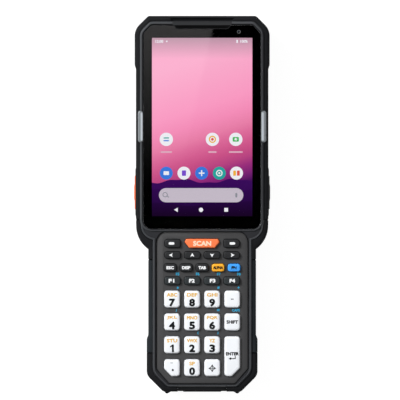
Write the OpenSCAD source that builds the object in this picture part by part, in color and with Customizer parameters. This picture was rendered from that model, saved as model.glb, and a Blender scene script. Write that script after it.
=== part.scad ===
// Portable barcode data terminal, lying on its back.
// +X is the width, +Y the length towards the display end, +Z points out of the display.
// The origin is the centre of the footprint, at the level of the surface that it rests on.
// The display and the keys set the size of the shells, so the overall width and length follow from them.

/* [Display] */
// Width of the lit picture
view_w = 58.5; // [50:0.1:68]
// Length of the lit picture
view_l = 104; // [90:0.5:120]
// Printed border of the glass beside the picture
glass_side = 4.85; // [4:0.05:6]
// Printed border of the glass above the picture
glass_head = 7.25; // [6:0.05:9]
// Printed border of the glass below the picture
glass_foot = 7.05; // [6:0.05:9]
// Thickness of the glass
glass_t = 1.7; // [1.2:0.1:2]
// How deep the glass lies below the rim
glass_sink = 0.9; // [0.6:0.1:1.2]
// Corner radius at the lower end of the glass
glass_r = 5; // [3:0.1:7]
// Frame of the display module beside the picture
panel_side = 2.05; // [1.5:0.05:3]
// Frame of the display module above the picture
panel_head = 2.65; // [2:0.05:3.5]
// Frame of the display module below the picture
panel_foot = 3.65; // [2:0.05:4.5]
// Thickness of the display module
panel_t = 2.7; // [2.2:0.1:3]
// Half length of the earpiece bar at its wide edge
bar_half = 16.6; // [12:0.1:20]
// Depth of the notch in the glass for the earpiece bar
bar_d = 2; // [1.4:0.1:2.6]
// Slope of the two ends of the earpiece bar
bar_slope = 2.7; // [1:0.1:4]
// Width of each light strip
light_w = 3; // [2:0.1:3.4]
// Length of each light strip
light_l = 18.4; // [12:0.1:26]
// Thickness of each light strip
light_t = 2.9; // [1.5:0.1:3]

/* [Keypad] */
// Width of a number key
number_w = 9.35; // [8:0.05:11]
// Length of a number key
number_l = 10.1; // [8.5:0.1:12]
// Gap between the columns of number keys
column_gap = 2.35; // [1.8:0.05:3]
// Gap between the rows of number keys
row_gap = 3.23; // [2:0.01:4]
// Width of a wide key, such as an arrow or F1
wide_w = 9.5; // [8:0.1:10.4]
// Length of an arrow key
wide_l = 4.2; // [3.8:0.1:5.5]
// Width of the SCAN key
scan_w = 20.6; // [18:0.1:21]
// Length of the SCAN key
scan_l = 5.4; // [5:0.1:7]
// Width of a key of the row of five
mode_w = 7.5; // [6.5:0.05:8.4]
// Length of a key of the row of five
mode_l = 4.7; // [4.5:0.1:6.5]
// Gap between the SCAN row and the arrow row
small_gap = 2.2; // [1.8:0.05:3.5]
// Gap above and below the row of five
mode_gap = 2.9; // [1.8:0.05:3.5]
// Gap between the small keys and the number keys
block_gap = 3.3; // [2:0.1:5]
// Margin of the plate beside the keys
side_margin = 4.375; // [3:0.025:6]
// Margin of the plate above the keys
head_margin = 4.25; // [3:0.05:6]
// Margin of the plate below the keys
foot_margin = 4.16; // [3.6:0.01:6]
// Thickness of the keypad plate
plate_t = 1.4; // [1.2:0.1:1.7]
// How deep the keypad plate lies below the rim
plate_sink = 1.6; // [1.4:0.1:2]
// Gap round the keypad plate
plate_gap = 0.5; // [0.2:0.05:0.8]
// Corner size at the upper end of the keypad plate
plate_corner = 6.5; // [4:0.1:8]
// Size of the bevels at the lower end of the keypad plate, across the width
plate_bevel_x = 7.6; // [5:0.1:9]
// Size of the same bevels along the length
plate_bevel_y = 9.7; // [7:0.1:11]
// How far the keys stand above the keypad plate
key_rise = 1.5; // [1:0.1:1.8]
// Bevel along the upper edges of the keys
key_bevel = 0.5; // [0.2:0.05:0.7]
// Corner radius of a number key
number_r = 1.8; // [1:0.1:2.4]
// Travel of a key
key_travel = 0.5; // [0.3:0.05:0.6]
// Gap round each key in its window
key_gap = 0.25; // [0.15:0.05:0.35]
// Width of the collar that keeps a key under the plate
collar = 0.6; // [0.5:0.05:0.7]
// Thickness of that collar
collar_t = 1; // [0.7:0.1:1.2]
// Thickness of the rubber mat under the keys
mat_t = 0.8; // [0.5:0.1:1]
// Thickness of the circuit boards
board_t = 1.2; // [0.8:0.1:1.6]

/* [Shells] */
// Height of the rim round the display above the resting surface
body_depth = 34; // [32:0.1:40]
// Height of the back face of the shell beside the battery
back_z = 7; // [6:0.1:8]
// Height of the joint between the rear and the front shell above that back face
split_rise = 13; // [12:0.1:13.6]
// Wall thickness of both shells
wall = 2.3; // [1.8:0.1:2.6]
// Thickness of the deck of the rear shell
deck_t = 2.2; // [1.6:0.1:2.6]
// Thickness of the front shell under the glass seat and the plate
ledge_t = 2.5; // [1.8:0.1:3]
// Width of the rim beside the glass
rim_w = 2.25; // [1.8:0.05:3]
// Width of the rim above the glass
rim_head = 2.45; // [2:0.05:3]
// Bar of the front shell between the glass and the keypad plate
divider = 1.8; // [1.4:0.1:3]
// Width of the rails beside the keypad plate
rail_w = 1.8; // [1.2:0.1:2.6]
// Width of the lip below the keypad plate
lip_w = 1.75; // [1.2:0.05:2.4]

/* [Guards and grip] */
// Thickness of the side bands of the top guard
band_t = 2; // [1.6:0.1:2.6]
// Thickness of the top guard over the display end
guard_t = 3.1; // [2.6:0.1:4]
// How far the top guard stands out from the side bands near the top corners
guard_proud = 1; // [0.4:0.1:1.2]
// Length of the thick part of the top guard
guard_l = 30.95; // [26:0.1:36]
// Leg of the bevel at the two top corners
guard_bevel = 7.9; // [6:0.1:10]
// Blend radius of the guards at their bevels
guard_r = 9.2; // [7:0.1:10]
// How far the side bands stop above the lower edge of the glass
band_stop = 5; // [3.5:0.1:7]
// Where the shoulder starts to curve in, above the lower edge of the glass
shoulder_start = 1.6; // [0.5:0.1:3]
// Radius of the shoulder curve
shoulder_r = 15.1; // [13:0.1:18]
// Thickness of the soft grip strips
strip_t = 2.3; // [1.8:0.1:2.8]
// Upper end of the grip strips, below the lower edge of the glass
strip_start = 18.2; // [17:0.1:21]
// Length of the bottom guard along the sides
foot_guard_l = 23.85; // [20:0.1:27]
// Length of the wide stretch at the lower end of the strips
strip_foot_l = 10.5; // [7:0.1:14]
// How far the bottom guard stands out from the strips
foot_proud = 0.9; // [0.4:0.1:1.2]
// Thickness of the bottom guard over the lower end
foot_guard_t = 3; // [2.8:0.1:3.6]
// Leg of the bevel at the two lower corners
foot_bevel = 10; // [8:0.1:12]
// How far the two feet stand out of the lower end
foot_len = 1.3; // [0.6:0.1:1.8]
// Width of each foot
foot_w = 6; // [4:0.1:8]
// Height of each foot
foot_h = 12; // [8:0.5:14]
// Bevel along the long edges of the guards and strips
edge_c = 1.5; // [0.8:0.1:1.8]
// How far the guards and strips stay below the rim
guard_sink = 0.9; // [0.5:0.1:1.4]

/* [Side controls] */
// Length of a scan trigger
trigger_l = 19.7; // [15:0.1:23]
// Height of a scan trigger
trigger_h = 11.2; // [9:0.1:12]
// Centre of the scan triggers above the lower end of the side bands
trigger_up = 15.95; // [14.5:0.05:20]
// How far the scan triggers stand out of the side bands
trigger_proud = 1.4; // [1.1:0.05:2]
// Travel of a scan trigger
trigger_travel = 0.8; // [0.5:0.1:1]
// Centre of the volume rocker below the thick part of the top guard
rocker_down = 14.4; // [12:0.1:18]
// Length of the volume rocker
rocker_l = 15; // [13:0.1:18]
// Radius of the pivot of the volume rocker
rocker_pivot_r = 0.7; // [0.5:0.05:0.8]
// Length of the power button
power_l = 8.5; // [7:0.1:11]
// Height of the volume rocker and of the power button
side_key_h = 4.8; // [4:0.1:5.4]
// Travel of the power button
power_travel = 0.5; // [0.3:0.1:0.7]

/* [Battery] */
// Width of the battery pack over its flange
pack_w = 53; // [50:0.1:54]
// Length of the battery pack
pack_l = 96; // [86:0.5:100]
// Gap between the battery pack and the hump, in which its upper end turns
pack_gap = 1.2; // [1:0.1:2]
// Flange of the battery pack beside its cells
flange_w = 2; // [1.6:0.1:3]
// Height of the top of the cells above the back face of the shell
cell_rise = 9.2; // [7:0.1:9.4]
// Radius of the pivots of the battery pack
pivot_r = 1.2; // [0.9:0.05:1.4]
// Height of the pivots of the battery pack
pivot_z = 2.2; // [1.8:0.1:2.6]
// Distance of the pivots from the upper end of the pack
pivot_inset = 2.5; // [2:0.1:2.8]
// Travel of the battery latch
latch_travel = 3; // [2.4:0.1:3.2]
// Width of the battery latch
latch_w = 18; // [14:0.1:22]
// Length of the battery latch without its tongue
latch_l = 9; // [8:0.1:10]
// Width of the tongue of the latch
tongue_w = 10; // [7:0.1:11]

/* [Scanner hump] */
// Width of the hump on the back
hump_w = 60; // [56:0.1:62]
// Length of the hump
hump_l = 62.95; // [56:0.05:70]
// Bevel along the edges of the hump and of the battery pack
hump_c = 1.6; // [1:0.1:2]
// Width of the scanner window
window_w = 29; // [24:0.1:31]
// Height of the scanner window
window_h = 10; // [8:0.1:10.4]
// Thickness of the scanner window
window_t = 1.5; // [1:0.1:1.6]
// Height of the centre of the scanner window
window_z = 12; // [11.6:0.1:12.6]
// Width of the scan engine
engine_w = 22; // [18:0.5:26]
// Length of the scan engine
engine_l = 13.5; // [10:0.5:15]
// Radius of the camera barrel
camera_r = 3.6; // [3:0.1:4.2]
// Radius of the camera light
flash_r = 2; // [1.5:0.1:2.4]
// Width of the speaker
speaker_w = 24; // [18:0.5:28]
// Length of the speaker
speaker_l = 16; // [14:0.5:17]

/* [Port cover] */
// Width of the port cover
cover_w = 28.2; // [24:0.1:31]
// Thickness of the port cover
cover_t = 2.65; // [2.2:0.05:2.7]
// How far the upper edge of the port cover stays below the rim
cover_sink = 4.8; // [4:0.1:7]
// Height of the hinge of the port cover above the back face of the shell
cover_hinge_rise = 5.9; // [5.6:0.1:7]
// Radius of the hinge pin
hinge_pin_r = 0.5; // [0.4:0.05:0.6]
// Radius of the barrel round the hinge pin
barrel_r = 1.25; // [1:0.05:1.3]
// Width of the port socket
socket_w = 9; // [8.6:0.1:9.4]
// Height of the port socket
socket_h = 3.2; // [3:0.1:3.4]
// Length of the port socket
socket_l = 7.5; // [6:0.1:9]

/* [Fasteners] */
// Radius of the shank of a case screw
screw_r = 1.1; // [0.9:0.05:1.2]
// Radius of the head of a case screw
screw_head_r = 2.3; // [2:0.1:2.4]
// Height of the head of a case screw
screw_head_h = 1.8; // [1.2:0.1:2]
// How deep a case screw lies in the rear shell
screw_sink = 4; // [3:0.1:5]
// Radius of the posts that take the case screws
post_r = 2.2; // [1.9:0.1:2.4]
// Radius of the bosses round the case screws
boss_r = 3.2; // [3:0.1:3.4]
// Radius of the threaded strap holes
strap_hole_r = 1.25; // [1:0.05:1.6]
// Depth of the threaded strap holes
strap_hole_l = 6; // [4:0.1:6.4]
// Distance between the two strap holes of the lower pair
strap_pitch = 20; // [16:0.5:24]
// Distance between the two strap holes of the upper pair
hump_strap_pitch = 40; // [36:0.5:44]
// Radial clearance of pins and screws in their bores
pin_clear = 0.05; // [0.03:0.01:0.09]
// Clearance round sliding and seated pieces
fit = 0.25; // [0.15:0.05:0.3]

/* [Hidden] */
ARC = 6;
CUT = 1;
TRIM = 0.1;
SEAT = 0.1;
BIG = 1000;

// Keypad, from the key sizes
column_pitch = number_w + column_gap;
row_pitch = number_l + row_gap;
mode_pitch = mode_w + 1.8;
soft_l = scan_l - 0.4;
f_l = wide_l + 0.5;
scan_taper = 2.8;
scan_shoulder = 1.9;
scan_corner = 1;
enter_cut = 4.9;
dot_cut = 4.4;
plate_w = 4 * number_w + 3 * column_gap + 2 * side_margin;
key_rows_l = scan_l / 2 + soft_l / 2 + wide_l + mode_l + f_l + small_gap + 2 * mode_gap + block_gap
    + 4 * number_l + 3 * row_gap;
plate_l = head_margin + key_rows_l + foot_margin;

// Widths, from the glass, the plate and the battery outwards
glass_w = view_w + 2 * glass_side;
glass_l = glass_head + view_l + glass_foot;
cell_w = pack_w - 2 * flange_w;
bay_x = cell_w / 2 + 2 * fit;
bay_wall = 2;
switch_room = 7.05;
core_x = max(glass_w / 2 + rim_w, bay_x + bay_wall + switch_room + wall);
head_x = core_x + band_t;
guard_x = head_x + guard_proud;
rail_in_x = plate_w / 2 + plate_gap;
core_grip_x = max(rail_in_x + rail_w, bay_x + bay_wall + 1.9);
grip_x = core_grip_x + strip_t;
foot_side_x = grip_x + foot_proud;
trigger_out_x = head_x + trigger_proud;
head_w = 2 * head_x;

// Lengths, from the top end down
body_len = guard_t + rim_head + glass_l + divider + plate_l + lip_w + foot_guard_t + foot_len;
half_len = body_len / 2;
core_top_y = half_len - guard_t;
guard_y = half_len - guard_l;
glass_top_y = core_top_y - rim_head;
glass_end_y = glass_top_y - glass_l;
view_top_y = glass_top_y - glass_head;
view_y = view_top_y - view_l / 2;
band_end_y = glass_end_y + band_stop;
shoulder_y = glass_end_y + shoulder_start;
strip_top_y = glass_end_y - strip_start;
plate_top_y = glass_end_y - divider;
plate_end_y = plate_top_y - plate_l;
core_end_y = plate_end_y - lip_w;
foot_end_y = core_end_y - foot_guard_t;
strip_end_y = -half_len + foot_guard_l;
strip_step_y = strip_end_y + strip_foot_l;
foot_x = foot_side_x - foot_bevel - 1.3;

// Lines x + |y| = constant along the bevels of the two ends
guard_line = guard_x - guard_bevel + half_len;
core_line = guard_line - guard_t * sqrt(2);
foot_line = foot_side_x - foot_bevel - foot_end_y;
core_foot_line = foot_line - foot_guard_t * sqrt(2);

// Heights
split_z = back_z + split_rise;
rim_z = body_depth;
glass_z = rim_z - glass_sink;
seat_z = glass_z - glass_t;
shoulder_z = rim_z - 0.8;
rail_z = rim_z - 0.4;
plate_z = rim_z - plate_sink;
ledge_z = plate_z - plate_t;
deck_under_z = ledge_z - ledge_t;
band_z = rim_z - guard_sink;
band_low_z = back_z - 3;
strip_z = band_z - 0.4;
strip_low_z = back_z - 1;
scoop_d = 1.6;
light_x = head_x - 2.45;
light_y = view_y + 0.25;
light_z = rim_z - TRIM - light_t;

// Keypad stack
ledge_x = plate_w / 2 - 2.2;
ledge_top_y = plate_top_y - 2;
ledge_end_y = plate_end_y + foot_margin - collar - 0.36;
ledge_bevel = 5.4;
board_gap = 0.1;
board_z = deck_under_z - board_gap - mat_t - board_t;
mat_z = board_z + board_t;
collar_z = ledge_z - TRIM;
dome_z = collar_z - collar_t - key_travel - 0.1;
dome_r = 2.4;

// Main board
main_z = split_z + 1.6;
main_x = core_x - wall - 3.6;
main_grip_x = core_grip_x - wall - 2.1;
can_h = 2.2;

// Hump, battery and latch
hump_x = hump_w / 2;
hump_y = half_len - hump_l;
pack_top_y = hump_y - pack_gap;
pack_end_y = pack_top_y - pack_l;
cell_z = back_z + cell_rise;
bay_end_y = pack_end_y + 3.5;
cell_end_y = bay_end_y + 1.5;
bay_z = cell_z + 0.8;
bay_roof = 1.6;
pivot_y = pack_top_y - pivot_inset;
lug_in_x = pack_w / 2 + 0.4;
lug_l = 4;
latch_block_y = pack_end_y - 1;
latch_wall = 3;
latch_block_end_y = latch_block_y - latch_wall - latch_travel - latch_l - 2;
latch_block_x = latch_w / 2 + 4;
latch_block_z = 0.4;
latch_collar = 1.5;
latch_low_z = 1;
latch_step_z = back_z - 2.4;
tongue_z0 = back_z - 4;
tongue_z1 = back_z - 2;
contact_w = 16;
contact_l = 3;
pillar_x = 15;
pillar_r = 2;
low_pillar_x = 12;
pillar_in_top = 16;
pillar_in_end = 20;
pillar_ys = [pack_top_y - pillar_in_top, pack_end_y + pillar_in_end];
strap_down = 20;
strap_y = latch_block_end_y - strap_down;
hump_strap_in = 12.8;
hump_strap_y = hump_y + hump_strap_in;
speaker_in = 20.8;
speaker_y = hump_y + speaker_in;
slot_pitch = 2.6;
slot_w = 1.2;
slot_l = 18;
camera_x = 20;
camera_in = 15;
camera_y = core_top_y - camera_in;
flash_gap = 12;
flash_y = camera_y - flash_gap;
engine_z = deck_t + 0.4;
engine_front_y = core_top_y - wall - 2.25;
lens_x = -4;
lens_r = 2.8;

// Side controls
trigger_y = band_end_y + trigger_up;
trigger_z = split_z - 2;
trigger_in_x = core_x - wall - 0.3;
trigger_collar = 1;
trigger_collar_t = 2.1;
swell = 0.33;
swell_in = 5.4;
rocker_y = guard_y - rocker_down;
rocker_x = core_x - wall / 2;
rocker_pivot_l = 1.3;
switch_x = main_x - 0.4;
switch_gap = 0.15;
side_key_z = split_z - side_key_h / 2;
bump = 0.45;

// Port cover
cover_top_z = rim_z - cover_sink;
cover_hinge_z = back_z + cover_hinge_rise;
cover_hinge_y = core_end_y - 1.5;
cover_in_y = core_end_y - 0.15;
cover_out_y = cover_in_y - cover_t;
notch_x = cover_w / 2 + 0.3;
pin_grip = 2;
socket_z = main_z - socket_h;
plug_w = socket_w + 0.6;

// Screws: four beside the display, two in the shoulders, two at the lower end
screw_x = core_x - boss_r - 0.15;
screw_seat_z = back_z + screw_sink;
screw_top_z = deck_under_z - 2;
SCREWS = [for (side = [-1, 1])
    for (p = [[screw_x, core_top_y - 15], [screw_x, trigger_y + 26.8],
              [head_x - 7.35, shoulder_y - 7.9], [ledge_x - ledge_bevel - 2, core_end_y + 3.55]])
        [side * p[0], p[1]]];

// Key table: name, centre x, centre y, width, length, shape, colour
soft_y = plate_top_y - head_margin - scan_l / 2;
arrow_y = soft_y - soft_l / 2 - small_gap - wide_l / 2;
mode_y = arrow_y - wide_l / 2 - mode_gap - mode_l / 2;
f_y = mode_y - mode_l / 2 - mode_gap - f_l / 2;
number_y = f_y - f_l / 2 - block_gap - number_l / 2;
row_y = [for (i = [0:3]) number_y - i * row_pitch];
col_x = [for (i = [-1.5:1:1.5]) i * column_pitch];
wide_x = [for (i = [-1.5:1:1.5]) i * (column_pitch - 0.2)];
mode_x = [for (i = [-2:2]) i * mode_pitch];
WHITE = "#f3f7fa";
BLACK = "#26282a";
KEYS = concat(
    [["key_soft_left", wide_x[0], soft_y, wide_w, soft_l, "left", BLACK],
     ["key_scan", 0, soft_y, scan_w, scan_l, "scan", "#fb7f4c"],
     ["key_soft_right", wide_x[3], soft_y, wide_w, soft_l, "right", BLACK],
     ["key_left", wide_x[0], arrow_y, wide_w, wide_l, "left", BLACK],
     ["key_up", wide_x[1], arrow_y, wide_w, wide_l, "small", BLACK],
     ["key_down", wide_x[2], arrow_y, wide_w, wide_l, "small", BLACK],
     ["key_right", wide_x[3], arrow_y, wide_w, wide_l, "right", BLACK]],
    [for (i = [0:4]) [["key_esc", "key_display", "key_tab", "key_alpha", "key_fn"][i], mode_x[i], mode_y,
        mode_w, mode_l, "small", [BLACK, BLACK, BLACK, "#fcb52c", "#45a4fb"][i]]],
    [for (i = [0:3]) [str("key_f", i + 1), wide_x[i], f_y, wide_w, f_l, "small", BLACK]],
    [for (row = [0:2], i = [0:3])
        if (row < 2 || i < 3) [str("key_", [["7", "8", "9", "minus"], ["4", "5", "6", "shift"],
            ["1", "2", "3"]][row][i]), col_x[i], row_y[row], number_w, number_l, "number", WHITE]],
    [["key_enter", col_x[3], row_y[2] - row_pitch / 2, number_w, number_l + row_pitch, "corner_right", WHITE],
     ["key_dot", col_x[0], row_y[3], number_w, number_l, "corner_left", WHITE],
     ["key_0", col_x[1], row_y[3], number_w, number_l, "number", WHITE],
     ["key_nav", col_x[2], row_y[3], number_w, number_l, "number", WHITE]]);

// ---- outlines, as points on the right-hand side from the lower end to the upper end ----

function arc(x, y, r, a0, a1) =
    [for (i = [0:ARC]) let (a = a0 + (a1 - a0) * i / ARC) [x + r * cos(a), y + r * sin(a)]];
function flip(p) = [for (i = [len(p) - 1:-1:0]) [p[i][0], -p[i][1]]];
function both_sides(p) = concat(p, [for (i = [len(p) - 1:-1:0]) [-p[i][0], p[i][1]]]);

// An end with a bevelled corner: half width w, end at y, and x + y = line along the bevel
function bevel_end(w, y, line, r) =
    let (c = w + y - line, t = r * tan(22.5))
    concat(arc(w - r, y - c - t, r, 0, 45), [[w - c, y]]);

// Shoulder from the grip at half width g out to the head at half width h, inset by d
function shoulder(g, h, d) =
    let (r = shoulder_r - d, cx = h - r, a = acos(min(1, max(0, (g - cx) / r))))
    arc(cx, shoulder_y, r, -a, 0);

// Outline of the hard shells under the guards and strips, inset by d
function core(d) = concat(
    flip(bevel_end(core_grip_x - d, -core_end_y - d, core_foot_line - d * sqrt(2),
        guard_r - foot_guard_t - d)),
    [[core_grip_x - d, strip_top_y + d], [grip_x - d, strip_top_y + d]],
    shoulder(grip_x - d, head_x - d, d),
    [[head_x - d, band_end_y - d], [core_x - d, band_end_y - d]],
    bevel_end(core_x - d, core_top_y - d, core_line - d * sqrt(2), guard_r - guard_t - d));

// Outline of the top guard, from its lower end
head_outline = concat(
    [[head_x, band_end_y], [head_x, guard_y], [guard_x, guard_y + 2.4 * guard_proud]],
    bevel_end(guard_x, half_len, guard_line, guard_r));

// Outline of the bottom guard, up to its upper end
foot_outline = concat(
    flip(bevel_end(foot_side_x, -foot_end_y, foot_line, guard_r)),
    [[foot_side_x, strip_end_y]]);

// Outline of the glass grown by d, with straight bevels that follow the rim at the top
function glass_outline(d) = concat(
    arc(glass_w / 2 - glass_r, glass_end_y + glass_r, glass_r + d, -90, 0),
    bevel_end(glass_w / 2 + d, glass_top_y + d, core_line - rim_w * sqrt(2) + d * sqrt(2),
        guard_r - guard_t - rim_w + d));

// Outline of the keypad plate, grown by d
function plate_outline(d) = [
    [plate_w / 2 - plate_bevel_x + d * 0.4, plate_end_y - d],
    [plate_w / 2 + d, plate_end_y + plate_bevel_y - d * 0.4],
    [plate_w / 2 + d, plate_top_y - plate_corner],
    [plate_w / 2 - plate_corner * 0.3 + d * 0.7, plate_top_y - plate_corner * 0.3 + d * 0.7],
    [plate_w / 2 - plate_corner, plate_top_y + d]];

// ---- shared shapes ----

module slab(z0, z1) { translate([0, 0, z0]) linear_extrude(z1 - z0) children(); }
module block(x0, x1, y0, y1, z0, z1) { translate([x0, y0, z0]) cube([x1 - x0, y1 - y0, z1 - z0]); }
module outline(p) { polygon(both_sides(p)); }
module mirrored() { children(); mirror([1, 0, 0]) children(); }
module at(p, z) { translate([p[0], p[1], z]) children(); }

// Everything above (or below) a line across the width, for limiting an outline
module above(y) { translate([-BIG, y]) square([2 * BIG, BIG]); }
module below(y) { mirror([0, 1]) above(-y); }

// Rectangle with rounded corners
module rounded(w, l, r) {
    polygon([for (q = [0:3]) each arc(
        (q == 0 || q == 3 ? 1 : -1) * (w / 2 - r), (q < 2 ? 1 : -1) * (l / 2 - r), r, 90 * q, 90 * q + 90)]);
}

// Rectangle between two corners with all four corners cut off by c
function cut_corners(x0, x1, z0, z1, c) = [
    [x0, z0 + c], [x0 + c, z0], [x1 - c, z0], [x1, z0 + c],
    [x1, z1 - c], [x1 - c, z1], [x0 + c, z1], [x0, z1 - c]];

// Limits its children to a bar along Y with bevelled long edges
module bevelled_bar(x, z0, z1, c) {
    intersection() {
        children();
        rotate([90, 0, 0]) translate([0, 0, -BIG]) linear_extrude(2 * BIG)
            polygon(cut_corners(-x, x, z0, z1, c));
    }
}

// Limits its children to a bar along X with bevelled long edges
module bevelled_ends(y0, y1, z0, z1, c) {
    intersection() {
        children();
        rotate([90, 0, 90]) translate([0, 0, -BIG]) linear_extrude(2 * BIG)
            polygon(cut_corners(y0, y1, z0, z1, c));
    }
}

// Square bar along Y that bevels an edge at x, z between two places
module edge_cutter(x, z, y0, y1) {
    side = edge_c * sqrt(2);
    translate([x, y1, z]) rotate([90, 45, 0]) translate([-side / 2, -side / 2, 0])
        cube([side, side, y1 - y0]);
}

// Bar with a round section along X
module pin(r, l, y, z) {
    translate([0, y, z]) rotate([0, 90, 0]) cylinder(r = r, h = l, center = true, $fn = 48);
}

// ---- cut-outs that two or more pieces share ----

module trigger_window() {
    mirrored() block(core_x - wall - CUT, trigger_out_x + CUT, trigger_y - trigger_l / 2 - fit,
        trigger_y + trigger_l / 2 + fit, trigger_z - trigger_h / 2 - fit, trigger_z + trigger_h / 2 + fit);
}
module rocker_window() {
    block(core_x - wall - CUT, guard_x + CUT, rocker_y - rocker_l / 2 - fit, rocker_y + rocker_l / 2 + fit,
        side_key_z - fit, side_key_z + side_key_h + fit);
    translate([rocker_x, rocker_y, side_key_z - rocker_pivot_l - 0.3])
        cylinder(r = rocker_pivot_r + pin_clear, h = side_key_h + 2 * rocker_pivot_l + 0.6, $fn = 32);
}
module power_window() {
    block(-guard_x - CUT, -core_x + wall + CUT, rocker_y - power_l / 2 - fit, rocker_y + power_l / 2 + fit,
        side_key_z - fit, side_key_z + side_key_h + fit);
}
module light_slot() { mirrored() slab(light_z, rim_z + CUT) light_shape(SEAT); }
module light_shape(grow) {
    translate([light_x, light_y]) rounded(light_w + 2 * grow, light_l + 2 * grow, light_w / 2 + grow - 0.01);
}
module window_plate(grow, y0, y1) {
    block(-window_w / 2 - grow, window_w / 2 + grow, y0, y1,
        window_z - window_h / 2 - grow, window_z + window_h / 2 + grow);
}
module bar_shape(grow) {
    low_y = glass_top_y - bar_d - grow;
    wide_y = low_y + bar_slope + grow;
    top_y = glass_top_y + 1.6;
    outline([[bar_half - bar_slope + grow, low_y], [bar_half + grow, wide_y], [bar_half + grow, top_y]]);
}
module cover_notch() {
    block(-notch_x, notch_x, -half_len - CUT, core_end_y, cover_hinge_z - barrel_r - fit, rim_z + CUT);
}
module port_opening() {
    block(-plug_w / 2 - 0.8, plug_w / 2 + 0.8, core_end_y - CUT, core_end_y + wall + CUT,
        socket_z - 0.8, main_z + 0.5);
}

// ---- shells ----

module front_housing() color("#4a4b4d") {
    difference() {
        union() {
            difference() {
                union() {
                    slab(split_z, shoulder_z) outline(core(0));
                    slab(shoulder_z - TRIM, rim_z) intersection() {
                        outline(core(1.1));
                        above(band_end_y);
                    }
                    slab(shoulder_z - TRIM, rail_z) intersection() {
                        outline(core(0.5));
                        below(strip_top_y - 1);
                    }
                }
                slab(split_z - CUT, deck_under_z) outline(core(wall));
            }
            for (p = SCREWS) at(p, split_z) cylinder(r = post_r, h = deck_under_z - split_z + TRIM, $fn = 48);
        }
        slab(seat_z, rim_z + CUT) { outline(glass_outline(SEAT)); bar_shape(SEAT); }
        panel_window();
        slab(ledge_z, rim_z + CUT) outline(plate_outline(plate_gap));
        slab(deck_under_z - CUT, ledge_z + CUT) outline([
            [ledge_x - ledge_bevel, ledge_end_y],
            [ledge_x, ledge_end_y + ledge_bevel],
            [ledge_x, ledge_top_y]]);
        trigger_window();
        rocker_window();
        power_window();
        light_slot();
        port_opening();
        for (p = SCREWS) at(p, split_z - CUT)
            cylinder(r = screw_r + pin_clear, h = screw_top_z - split_z + 0.5 + CUT, $fn = 32);
        block(-notch_x, notch_x, core_end_y - CUT, core_end_y + 0.3, shoulder_z - 1.2, rim_z);
    }
}
module panel_window() {
    block(-view_w / 2 - panel_side - fit, view_w / 2 + panel_side + fit,
        view_y - view_l / 2 - panel_foot - fit, view_y + view_l / 2 + panel_head + fit,
        deck_under_z - CUT, seat_z + CUT);
}

module rear_housing() color("#343537") {
    difference() {
        union() {
            difference() {
                union() {
                    slab(back_z, split_z) outline(core(0));
                    hump();
                }
                slab(back_z + deck_t, split_z + CUT) outline(core(wall));
                hump_cavity();
            }
            block(-bay_x - bay_wall, bay_x + bay_wall, bay_end_y - bay_wall, hump_y + bay_wall,
                back_z, bay_z + bay_roof);
            for (p = SCREWS) at(p, back_z) cylinder(r = boss_r, h = split_z - back_z, $fn = 48);
            board_pillars();
            strap_bosses();
            latch_block();
        }
        block(-bay_x, bay_x, bay_end_y, hump_y, back_z - CUT, bay_z);
        block(-contact_w / 2 - 0.2, contact_w / 2 + 0.2, hump_y - contact_l - 0.1, hump_y,
            bay_z - CUT, main_z);
        trigger_window();
        rocker_window();
        power_window();
        port_opening();
        for (p = SCREWS) {
            at(p, back_z - CUT) cylinder(r = screw_head_r + 0.2, h = screw_sink + CUT, $fn = 48);
            at(p, back_z) cylinder(r = screw_r + 0.2, h = body_depth, $fn = 32);
        }
        window_plate(0.15, core_top_y - window_t - 0.25, core_top_y + CUT);
        window_plate(-1.3, core_top_y - wall - CUT, core_top_y);
        for (c = [[camera_y, camera_r], [flash_y, flash_r]])
            at([-camera_x, c[0]], -CUT) cylinder(r = c[1] + 0.2, h = 5, $fn = 48);
        for (i = [-2:2]) translate([0, speaker_y + i * slot_pitch, 0])
            block(-slot_l / 2, slot_l / 2, -slot_w / 2, slot_w / 2, -CUT, deck_t + CUT);
        latch_pocket();
        pin(pivot_r + pin_clear, 2 * (lug_in_x + 2.9), pivot_y, pivot_z);
        for (side = [-1, 1]) {
            at([side * strap_pitch / 2, strap_y], back_z - CUT) strap_hole();
            at([side * hump_strap_pitch / 2, hump_strap_y], -CUT) strap_hole();
        }
    }
}

module strap_hole() { cylinder(r = strap_hole_r, h = strap_hole_l + CUT, $fn = 32); }

// Hump over the scanner and the speaker, with two arms that carry the battery pivots
module hump() {
    bevelled_ends(pivot_y - lug_l, half_len + 9, 0, split_z, hump_c) bevelled_bar(hump_x, 0, split_z, hump_c)
        slab(0, back_z + TRIM) intersection() {
            outline(core(0));
            union() {
                intersection() { square([hump_w, BIG], center = true); above(hump_y); }
                mirrored() translate([lug_in_x, pivot_y - lug_l]) square([hump_x - lug_in_x, body_len]);
            }
        }
}
module hump_cavity() {
    slab(deck_t, back_z + deck_t + CUT) intersection() {
        outline(core(wall));
        square([hump_w - 2 * wall, BIG], center = true);
        above(hump_y + wall);
    }
}
module board_pillars() {
    for (side = [-1, 1]) {
        for (y = pillar_ys) at([side * pillar_x, y], bay_z + 1)
            cylinder(r = pillar_r, h = main_z - bay_z - 1, $fn = 32);
        at([side * low_pillar_x, strap_y + 10], back_z) cylinder(r = 2.5, h = main_z - back_z, $fn = 32);
    }
}
module strap_bosses() {
    r = strap_hole_r + 2;
    for (side = [-1, 1]) {
        at([side * strap_pitch / 2, strap_y], back_z) cylinder(r = r, h = strap_hole_l + 1.5, $fn = 32);
        at([side * hump_strap_pitch / 2, hump_strap_y], 1) cylinder(r = r, h = strap_hole_l + 0.5, $fn = 32);
    }
}
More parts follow.
